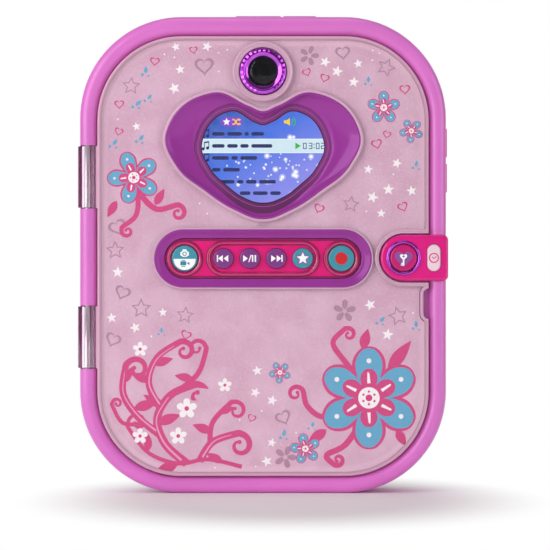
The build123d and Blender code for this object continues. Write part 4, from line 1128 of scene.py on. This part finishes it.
# ---- the picture on the screen -------------------------------------------------------
def make_screen_picture():
    """A generic song list: bars for words, a highlighted line, a clock in segments, sparkles."""
    face = screen.front + 0.03
    rows = [screen.z + rise for rise in (11.2, 5.5, -0.2, -5.8, -11.5, -16.9)]
    band = [box_ring(screen.left + 1, rows[1] - 3.1, screen.right - 1, rows[1] + 3.1)]
    printed("list_highlight", band, face + 0.02, "lit_ice", "base")
    edges = [
        box_ring(screen.left + 1, rows[1] + side * 3.2 - 0.2, screen.right - 1, rows[1] + side * 3.2 + 0.2)
        for side in (-1, 1)
    ]
    printed("highlight_edges", edges, face + 0.03, "lit_sky", "base")
    random.seed(7)
    dots, halos = [], []
    while len(dots) < 60:
        x = random.triangular(-24, 28, 17)
        z = random.triangular(-20, 15, -4)
        if abs(z - 5.5) > 3.6:
            reach = random.choice((0.22, 0.3, 0.4, 0.6, 0.85))
            dots.append(disc(x, screen.z + z, reach, 16))
            halos.append(disc(x, screen.z + z, reach * 1.8, 20))
    printed("sparkle_halos", halos, face - 0.01, "lit_lilac", "base")
    printed("sparkles", dots, face + 0.01, "lit_white", "base")
    words = []
    for z, lengths in zip(rows, ((6, 7, 2, 6), (6, 5, 4, 10), (8, 3, 8), (4, 8), (7, 3, 5, 8), (5, 7, 5))):
        x = -24.2 if z > rows[3] - 1 else (-20.5 if z > rows[5] + 1 else -11.0)
        for length in lengths:
            words.append(pill(x + length / 2, z, length, 1.7))
            x += length + 1.2
    printed("list_words", words, face + 0.05, "lit_navy", "base")
    notes = []
    for z in rows[:3]:
        notes += [disc(-28.4, z - 1.4, 0.75, 16), disc(-26.3, z - 1.0, 0.75, 16)]
        notes += [box_ring(-28.0, z - 1.4, -27.65, z + 1.7), box_ring(-25.9, z - 1.0, -25.55, z + 2.1)]
        notes.append([(-28.0, z + 1.2), (-25.55, z + 1.6), (-25.55, z + 2.3), (-28.0, z + 1.9)])
    printed("list_notes", notes, face + 0.07, "lit_navy", "base")
    printed(
        "play_mark", [[(15.3, rows[1] - 1.6), (17.9, rows[1]), (15.3, rows[1] + 1.6)]], face + 0.07,
        "lit_green", "base",
    )
    clock_bars = []
    for x, lit in ((19.8, "abcdef"), (22.5, "abcdg"), (25.9, "abcdef"), (28.3, "abged")):
        clock_bars += seven_segments(x, rows[1], lit)
    clock_bars += [disc(24.15, rows[1] + 0.8, 0.28, 12), disc(24.15, rows[1] - 0.8, 0.28, 12)]
    printed("list_clock", clock_bars, face + 0.07, "lit_navy", "base")
    top = screen.z + 16.9
    printed("mode_pill", [pill(-14.9, top, 9.8, 4.4)], face + 0.02, "lit_violet", "base")
    printed("mode_star", [star(-17.3, top, 1.9, waist=0.45)], face + 0.05, "lit_white", "base")
    arrows = [
        stroke([(-14.6, top + 1), (-13.6, top + 1), (-12.2, top - 1), (-11.4, top - 1)], 0.6, 0.6),
        stroke([(-14.6, top - 1), (-13.6, top - 1), (-12.2, top + 1), (-11.4, top + 1)], 0.6, 0.6),
        [(-11.5, top + 0.3), (-10.4, top + 1), (-11.5, top + 1.7)],
        [(-11.5, top - 1.7), (-10.4, top - 1), (-11.5, top - 0.3)],
    ]
    speaker = [
        [(9.9, top - 0.7), (11.0, top - 0.7), (12.7, top - 1.8), (12.7, top + 1.8), (11.0, top + 0.7),
         (9.9, top + 0.7)],
    ]
    printed("mode_arrows", arrows + speaker, face + 0.05, "lit_yellow", "base")
    waves = []
    for reach in (1.5, 2.7):
        arc = [
            (12.6 + reach * math.cos(math.radians(a)), top + reach * math.sin(math.radians(a)))
            for a in range(-50, 51, 20)
        ]
        waves.append(stroke(arc, 0.5, 0.5, steps=2))
    printed("sound_waves", waves, face + 0.05, "lit_green", "base")


def seven_segments(x, z, lit, width=1.7, height=2.9, line=0.36):
    """The bars of one digit."""
    left, right = x - width / 2 + line / 2, x + width / 2 - line / 2
    low, high = z - height / 2 + line / 2, z + height / 2 - line / 2
    ends = {
        "a": (left, high, right, high), "b": (right, z, right, high), "c": (right, low, right, z),
        "d": (left, low, right, low), "e": (left, low, left, z), "f": (left, z, left, high),
        "g": (left, z, right, z),
    }
    half = line / 2
    bars = []
    for segment in lit:
        xa, za, xb, zb = ends[segment]
        bars.append(box_ring(xa - half, za - half, xb + half, zb + half))
    return bars


def make_window_border():
    """The border behind the window's edge: painted shade in the step's recess, with a fine painted
    highlight line and a black edge.
    """
    level = step_front + 0.03
    for name, outer, inner, ink, rise in (
        ("border_shade_print", step_width - 0.55, 0.20, "plum_shade_ink", 0.0),
        # A fine painted highlight along the step's edge.
        ("border_highlight_line", 2.05, 1.80, "rose_highlight_ink", 0.02),
        ("border_edge", 0.55, 0.12, "black_ink", 0.03),
    ):
        # The painted shade is widened towards the tip, where the shadow is deepest.
        shape = lowered if name == "border_shade_print" else list
        rings = (shape(grown(inner_ring, outer)), grown(inner_ring, inner))
        rings = tuple([(x, z + screen.z) for x, z in ring] for ring in rings)
        printed(name, [rings], level + rise, ink, "cover")


make_screen_picture()
make_window_border()


# ---- icons on the buttons ------------------------------------------------------------
def icon(button_name, label, outlines, ink, layer=0):
    """Printed marks on a button, drawn about its middle."""
    button = extent(button_name)
    moved = []
    for outline in outlines:
        if isinstance(outline, tuple):
            moved.append(tuple([(x + button.x, z + button.z) for x, z in ring] for ring in outline))
        else:
            moved.append([(x + button.x, z + button.z) for x, z in outline])
    front = button.front + 0.006 + 0.012 * layer
    printed(f"{label}_print", moved, front, ink, button_name)


def make_icons():
    """What each button does, in white or in colour."""
    lower_half = [
        (5.2 * math.cos(math.radians(a)), -0.2 + 5.2 * math.sin(math.radians(a)))
        for a in range(180, 361, 10)
    ]
    icon("camera_button", "movie_field", [lower_half], "white_ink")
    still = pill(0, 2.2, 4.4, 2.9, count=3)
    icon(
        "camera_button", "still_camera",
        [(still, disc(0, 2.2, 1.05, 24)), disc(0, 2.2, 0.6, 20), box_ring(-0.9, 3.6, 0.9, 4.3)],
        "white_ink",
    )
    icon(
        "camera_button", "movie_camera",
        [box_ring(-2.0, -3.2, 0.8, -1.3), [(1.0, -2.3), (2.3, -3.1), (2.3, -1.5)],
         box_ring(-1.4, -1.1, 0.2, -0.7), box_ring(-1.6, -3.9, 0.4, -3.5)],
        "teal_ink", layer=1,
    )
    back = [[(-0.2, -1.6), (-0.2, 1.6), (-2.4, 0)], [(2.4, -1.6), (2.4, 1.6), (0.2, 0)]]
    icon("previous_button", "previous", back + [box_ring(-3.0, -1.6, -2.4, 1.6)], "white_ink")
    ahead = [[(-x, z) for x, z in outline] for outline in back]
    icon("next_button", "next", ahead + [box_ring(2.4, -1.6, 3.0, 1.6)], "white_ink")
    icon(
        "play_button", "play",
        [[(-3.1, -1.6), (-0.9, 0), (-3.1, 1.6)], [(-0.7, -1.7), (-0.2, -1.7), (0.9, 1.7), (0.4, 1.7)],
         box_ring(1.0, -1.6, 1.7, 1.6), box_ring(2.3, -1.6, 3.0, 1.6)],
        "white_ink",
    )
    icon("star_button", "star_edge", [star(0, 0, 3.9, waist=0.5)], "purple_ink")
    icon("star_button", "star", [star(0, 0, 3.0, waist=0.45)], "white_ink", layer=1)
    icon("record_button", "record", [disc(0, 0, 2.95, 48)], "red_ink")
    icon("key_button", "heart", [heart(0, -0.2, 8.4)], "purple_ink")
    icon(
        "key_button", "key",
        [(heart(0, 0.5, 3.4), heart(0, 0.65, 1.2)), box_ring(-0.37, -3.6, 0.37, -0.8),
         box_ring(-1.3, -3.6, -0.3, -3.1), box_ring(-1.1, -2.8, -0.3, -2.3)],
        "white_ink", layer=1,
    )
    icon(
        "clock_button", "clock",
        [(disc(0, 0, 2.4, 36), disc(0, 0, 1.85, 36)),
         stroke([(-0.85, 0.55), (0.0, -0.25), (1.15, 0.75)], 0.45, 0.45, steps=2)],
        "hot_pink_ink",
    )


make_icons()


# ---- the artwork printed on the sheet ------------------------------------------------
def layer_front(layer):
    """Each ink lies on the last one, all of them behind the cover's plate."""
    return sheet.front + 0.002 + 0.008 * layer


def tendril(points, radius, side, start, end, turns=1.05):
    """A bent stem whose end winds in on itself, to the left for side 1, and ends in a bead."""
    (xa, za), (xb, zb) = points[-2:]
    heading = math.atan2(zb - za, xb - xa)
    x, z = xb - side * radius * math.sin(heading), zb + side * radius * math.cos(heading)
    path = list(points)
    for i in range(1, 13):
        share = i / 12
        angle = heading + side * math.pi * (2 * turns * share - 0.5)
        reach = radius * (1 - 0.72 * share)
        path.append((x + reach * math.cos(angle), z + reach * math.sin(angle)))
    return [stroke(path, start, end, steps=5), disc(*path[-1], end * 0.95, 16)]


def make_sprig():
    """The large sprig at the lower left: bent stems that end in curls, leaves and blossoms."""
    branches = (
        ([(-10, 12.5), (-26, 16), (-40, 14), (-54, 19), (-63, 30)], 5.0, -1, 2.0, 1.3),
        ([(-36, 14), (-46, 23), (-50, 35), (-44, 46), (-33, 51)], 5.4, -1, 4.2, 1.2),
        ([(-48, 27), (-59, 36), (-66, 47), (-65, 59)], 5.6, -1, 3.6, 1.1),
        ([(-48, 39), (-54, 52), (-50, 64), (-40, 71)], 4.8, -1, 3.4, 1.0),
        ([(-30, 15), (-24, 24), (-13, 28)], 5.8, -1, 3.6, 1.1),
        ([(-42, 47), (-31, 56), (-27, 67)], 4.4, 1, 2.6, 0.9),
        ([(-25, 22), (-24, 33), (-16, 42)], 4.6, -1, 2.6, 0.9),
        ([(-56, 33), (-66, 33), (-71, 41)], 2.6, -1, 2.0, 0.8),
    )
    shapes = []
    for points, radius, side, start, end in branches:
        shapes += tendril(points, radius, side, start, end)
    shapes += [
        leaf(-50, 33, 12, 5.0, 20), leaf(-47, 41, 11, 4.6, 150), leaf(-61, 40, 12, 5.0, 15),
        leaf(-66, 52, 9, 4.0, 60), leaf(-53, 53, 10, 4.4, 160), leaf(-52, 61, 10, 4.4, 15),
        leaf(-40, 14, 12, 5.0, -160), leaf(-33, 54, 9, 4.0, 170), leaf(-24, 29, 10, 4.4, 160),
        leaf(-21, 38, 8, 3.6, 20), leaf(-19, 14.5, 9, 4.0, 150), leaf(-54, 20, 9, 4.0, 95),
    ]
    printed("sprig", shapes, layer_front(1), "hot_pink_ink", "cover")
    veins = [
        stroke([(-38.5, 15.5), (-46.8, 24), (-50.3, 35), (-44.6, 45.4)], 1.1, 0.4),
        stroke([(-50.5, 29.5), (-59.3, 37), (-65.8, 47), (-65.3, 57)], 0.9, 0.3),
        stroke([(-48.8, 42), (-53.8, 52), (-50.3, 63), (-42, 69.5)], 0.9, 0.3),
        stroke([(-28.6, 17), (-23.2, 24.4), (-15, 27.6)], 0.9, 0.3),
    ]
    printed("sprig_veins", veins, layer_front(3), "blush_ink", "cover")
    blossoms, hearts = [], []
    for x, z, size in ((-58, 27, 3.4), (-36, 40, 4.6), (-40, 27, 3.8), (-58, 68, 3.2), (-18, 51, 3.0)):
        blossoms += [petal(x, z, size, size * 0.8, 90 + 72 * i, base=0.3) for i in range(5)]
        hearts.append(disc(x, z, size * 0.24, 16))
    printed("blossoms", blossoms, layer_front(4), "white_ink", "cover")
    printed("blossom_hearts", hearts, layer_front(5), "hot_pink_ink", "cover")


def make_flower(name, x, z, size, count=6, turn=0.0):
    """A flower in aqua edged with pink, with an inner whorl and a dotted eye."""
    angles = [turn + 90 + 360 / count * i for i in range(count)]
    edge = [petal(x, z, size * 0.96, size * 0.78, a, base=size * 0.10) for a in angles]
    field = [petal(x, z, size * 0.87, size * 0.62, a, base=size * 0.15) for a in angles]
    whorl = [petal(x, z, size * 0.50, size * 0.40, a, base=size * 0.10) for a in angles]
    veins = [
        stroke(turned([(size * 0.30, 0), (size * 0.5, 0.3), (size * 0.52, 0.3)], x, z, a), size * 0.07, 0.3)
        for a in angles
    ]
    pearls = [
        disc(x + size * 0.76 * math.cos(math.radians(a)), z + size * 0.76 * math.sin(math.radians(a)),
             size * 0.05, 14)
        for a in angles
    ]
    eye = [disc(x, z, size * 0.22, 32)]
    spots = [disc(x, z, size * 0.07, 16)] + [
        disc(x + size * 0.13 * math.cos(math.radians(a)), z + size * 0.13 * math.sin(math.radians(a)),
             size * 0.025, 10)
        for a in angles
    ]
    for part, outlines, layer, ink in (
        ("edge", edge, 2, "hot_pink_ink"), ("field", field, 3, "aqua_ink"),
        ("whorl", whorl, 4, "hot_pink_ink"), ("marks", veins + pearls, 5, "white_ink"),
        ("eye", eye, 5.5, "white_ink"), ("spots", spots, 6, "hot_pink_ink"),
    ):
        printed(f"{name}_{part}", outlines, layer_front(layer), ink, "cover")


def make_flowers():
    """A large flower at the lower right and small ones in the upper corners."""
    make_flower("large_flower", 50, 45, 23)
    make_flower("left_flower", -61, 149, 12, count=5, turn=20)
    make_flower("right_flower", 57, 182, 7.5, count=5)
    make_flower("far_right_flower", 70, 171, 5.5, count=5, turn=30)
    make_flower("low_flower", 20, 21, 7.0, count=5, turn=12)
    make_flower("side_flower", 8, 57, 5.0, count=5, turn=30)
    shapes = []
    for points, radius, side, start, end in (
        ([(48, 36), (39, 23), (30, 18), (33, 14)], 3.0, 1, 3.0, 0.9),
        ([(42, 42), (29, 36), (21, 41), (19, 48)], 3.8, 1, 2.8, 0.9),
        ([(47, 52), (38, 63), (33, 71), (38, 77)], 3.2, -1, 2.8, 0.8),
        ([(-60, 147), (-57, 140), (-50, 134), (-41, 136)], 3.8, -1, 3.0, 0.9),
        ([(-61, 147), (-59, 140), (-60, 131), (-66, 126)], 3.0, 1, 2.6, 0.8),
    ):
        shapes += tendril(points, radius, side, start, end)
    shapes += [
        leaf(30, 30, 11, 5, 215), leaf(-51, 136, 9, 4, 60), leaf(63, 30, 9, 4.4, -60),
        leaf(-69, 138, 9, 4, -120), leaf(59, 58, 18, 6, 52), leaf(47, 68, 10, 5, 75),
    ]
    printed("tendrils", shapes, layer_front(1), "hot_pink_ink", "cover")


def small_heart_outline(x, z, size, turn):
    """A hollow heart: its outline and the hole in it."""
    return (heart(x, z, size, turn), heart(x, z, size * 0.70, turn))


def make_scatter():
    """Stars, hearts and drops strewn over what the larger motifs leave free."""
    random.seed(11)
    busy = [
        (0, camera.z, 17), (-22, 166, 28), (22, 166, 28), (0, 150, 28), (-46, 39, 34), (51, 45, 26),
        (-61, 149, 15), (57, 182, 10), (70, 171, 8), (24, 19, 9), (8, 57, 7), (-45, 130, 11),
        (-12, 79, 19), (14, 79, 19), (66, 111, 19), (47, 74, 8), (20, 45, 9), (-20, 66, 9), (-8, 24, 9),
        (-64, 138, 8), (-51, 139, 8), (-38, 130, 9), (-50, 125, 8), (36, 74, 7), (34, 17, 7),
        (64, 17, 7), (68, 69, 7), (-24, 70, 7), (-14, 44, 8), (-12, 16, 6),
    ]
    busy += [(x, strip.z, 20) for x in range(-44, 45, 8)]
    spots = {}
    for kind, reach, wanted in (
        ("white_star", 2.5, 26), ("ghost_star", 4.9, 7), ("ghost_heart", 4.5, 6), ("pink_heart", 2.6, 13),
        ("aqua_drop", 2.6, 12), ("ghost_flower", 4.1, 6), ("speck", 0.9, 20),
    ):
        spots[kind] = []
        for _ in range(4000):
            x, z = random.uniform(-73, 73), random.uniform(12, 211)
            corner_x, corner_z = max(abs(x) - 37, 0), max(abs(z - 112) - 63, 0)
            inside = math.hypot(corner_x, corner_z) < 38.5 - reach
            if inside and all(math.hypot(x - a, z - b) > r + reach for a, b, r in busy):
                spots[kind].append((x, z, random.uniform(-25, 25), random.uniform(0.8, 1.1)))
                busy.append((x, z, reach + 1.2))
            if len(spots[kind]) == wanted:
                break
    ghosts = [
        (star(x, z, 4.8 * s, waist=0.48, turn=t), star(x, z, 3.5 * s, waist=0.48, turn=t))
        for x, z, t, s in spots["ghost_star"]
    ]
    ghosts += [small_heart_outline(x, z, 8.6 * s, t) for x, z, t, s in spots["ghost_heart"]]
    for x, z, t, s in spots["ghost_flower"]:
        ghosts += [petal(x, z, 4.2 * s, 2.9 * s, t + 72 * i, base=0.9) for i in range(5)]
    printed("ghost_marks", ghosts, layer_front(0), "ghost_ink", "cover")
    hearts = [small_heart_outline(x, z, 5.0 * s, t) for x, z, t, s in spots["pink_heart"]]
    printed("pink_hearts", hearts, layer_front(1), "hot_pink_ink", "cover")
    drops = []
    for x, z, t, s in spots["aqua_drop"]:
        drops += [leaf(x, z, 3.4 * s, 1.7 * s, 70 + t), disc(x - 1.5, z - 0.6, 0.7 * s, 14)]
        drops.append(disc(x + 1.4, z - 1.2, 0.5 * s, 14))
    printed("aqua_drops", drops, layer_front(1), "aqua_ink", "cover")
    stars = [star(x, z, 2.7 * s, waist=0.42, turn=t) for x, z, t, s in spots["white_star"]]
    stars += [disc(x, z, 0.42, 10) for x, z, t, s in spots["speck"]]
    printed("white_stars", stars, layer_front(1), "white_ink", "cover")


make_sprig()
make_flowers()
make_scatter()


# ---- floor, backdrop and light -------------------------------------------------------
def make_stage():
    """A pale floor that turns up into a backdrop, white to the camera away from the object."""
    bpy.ops.mesh.primitive_plane_add(size=6.0)
    floor = bpy.context.object
    floor.name = "floor"
    bpy.ops.object.mode_set(mode="EDIT")
    bpy.ops.mesh.select_all(action="DESELECT")
    mesh = bmesh.from_edit_mesh(floor.data)
    for edge in mesh.edges:
        if all(v.co.y > 2.9 for v in edge.verts):
            edge.select = True
    bmesh.update_edit_mesh(floor.data)
    for out, up in ((0.5, 0.2), (0.3, 0.8), (0.0, 2.5)):
        bpy.ops.mesh.extrude_edges_move(TRANSFORM_OT_translate={"value": (0, out, up)})
    bpy.ops.object.mode_set(mode="OBJECT")
    material = bpy.data.materials.new("painted_floor")
    material.use_nodes = True
    tree = material.node_tree
    tree.nodes.clear()
    # Matt white paint: takes the soft shadow near the object.
    paint = add(tree, "ShaderNodeBsdfPrincipled", {"Roughness": 0.9})
    paint.inputs["Base Color"].default_value = linear("#f4ecee")
    glow = add(tree, "ShaderNodeEmission", {"Strength": 1.0})
    place = add(tree, "ShaderNodeTexCoord").outputs["Object"]
    offset = add(
        tree, "ShaderNodeVectorMath", {0: place, 1: (0.01, -0.06, 0.0)}, operation="SUBTRACT"
    )
    squeezed = add(
        tree, "ShaderNodeVectorMath", {0: offset.outputs["Vector"], 1: (1.5, 1.0, 1.0)},
        operation="MULTIPLY",
    )
    reach = add(
        tree, "ShaderNodeVectorMath", {0: squeezed.outputs["Vector"]}, operation="LENGTH"
    )
    far = add(
        tree, "ShaderNodeMapRange",
        {"Value": reach.outputs["Value"], "From Min": 0.08, "From Max": 0.19},
        interpolation_type="SMOOTHSTEP",
    )
    rays = add(tree, "ShaderNodeLightPath")
    seen = add(
        tree, "ShaderNodeMath",
        {0: rays.outputs["Is Camera Ray"], 1: rays.outputs["Is Glossy Ray"]}, operation="MAXIMUM",
    )
    seen = add(
        tree, "ShaderNodeMath",
        {0: seen.outputs[0], 1: rays.outputs["Is Transmission Ray"]}, operation="MAXIMUM",
    )
    share = add(
        tree, "ShaderNodeMath", {0: far.outputs["Result"], 1: seen.outputs[0]}, operation="MULTIPLY"
    )
    mix = add(
        tree, "ShaderNodeMixShader", {0: share.outputs[0], 1: paint.outputs[0], 2: glow.outputs[0]}
    )
    add(tree, "ShaderNodeOutputMaterial", {"Surface": mix.outputs[0]})
    floor.data.materials.append(material)


def make_light():
    """Large soft lamps: a key from the upper left, a weaker fill from the right, one from above."""
    for name, place, size, power in (
        ("key", (-1.0, -0.95, 0.45), 1.2, 13.4),
        ("fill", (1.5, -0.75, 0.30), 1.2, 8.6),
        ("top", (0.0, -0.2, 1.6), 0.8, 2.6),
    ):
        data = bpy.data.lights.new(name, "AREA")
        data.shape = "SQUARE"
        data.size = size
        data.energy = power
        lamp = bpy.data.objects.new(name, data)
        bpy.context.scene.collection.objects.link(lamp)
        lamp.location = place
        aim = Vector((0, 0, 0.11)) - Vector(place)
        lamp.rotation_euler = aim.to_track_quat("-Z", "Y").to_euler()
    world = bpy.data.worlds.new("studio")
    bpy.context.scene.world = world
    world.use_nodes = True
    tree = world.node_tree
    tree.nodes.clear()
    rays = add(tree, "ShaderNodeLightPath")
    seen = add(
        tree, "ShaderNodeMath",
        {0: rays.outputs["Is Camera Ray"], 1: rays.outputs["Is Transmission Ray"]},
        operation="MAXIMUM",
    )
    # Reflections see a darker room than the one that lights the object, as in a studio.
    level = add(
        tree, "ShaderNodeMapRange", {"Value": rays.outputs["Is Glossy Ray"], "To Min": 0.36, "To Max": 0.15}
    )
    dim = add(tree, "ShaderNodeBackground", {"Strength": level.outputs["Result"]})
    white = add(tree, "ShaderNodeBackground", {"Strength": 1.0})
    mix = add(
        tree, "ShaderNodeMixShader", {0: seen.outputs[0], 1: dim.outputs[0], 2: white.outputs[0]}
    )
    for background in (dim, white):
        background.inputs["Color"].default_value = (1.0, 1.0, 1.0, 1.0)
    add(tree, "ShaderNodeOutputWorld", {"Surface": mix.outputs[0]})


place_camera()
make_stage()
make_light()
bpy.context.scene.view_settings.view_transform = "Standard"
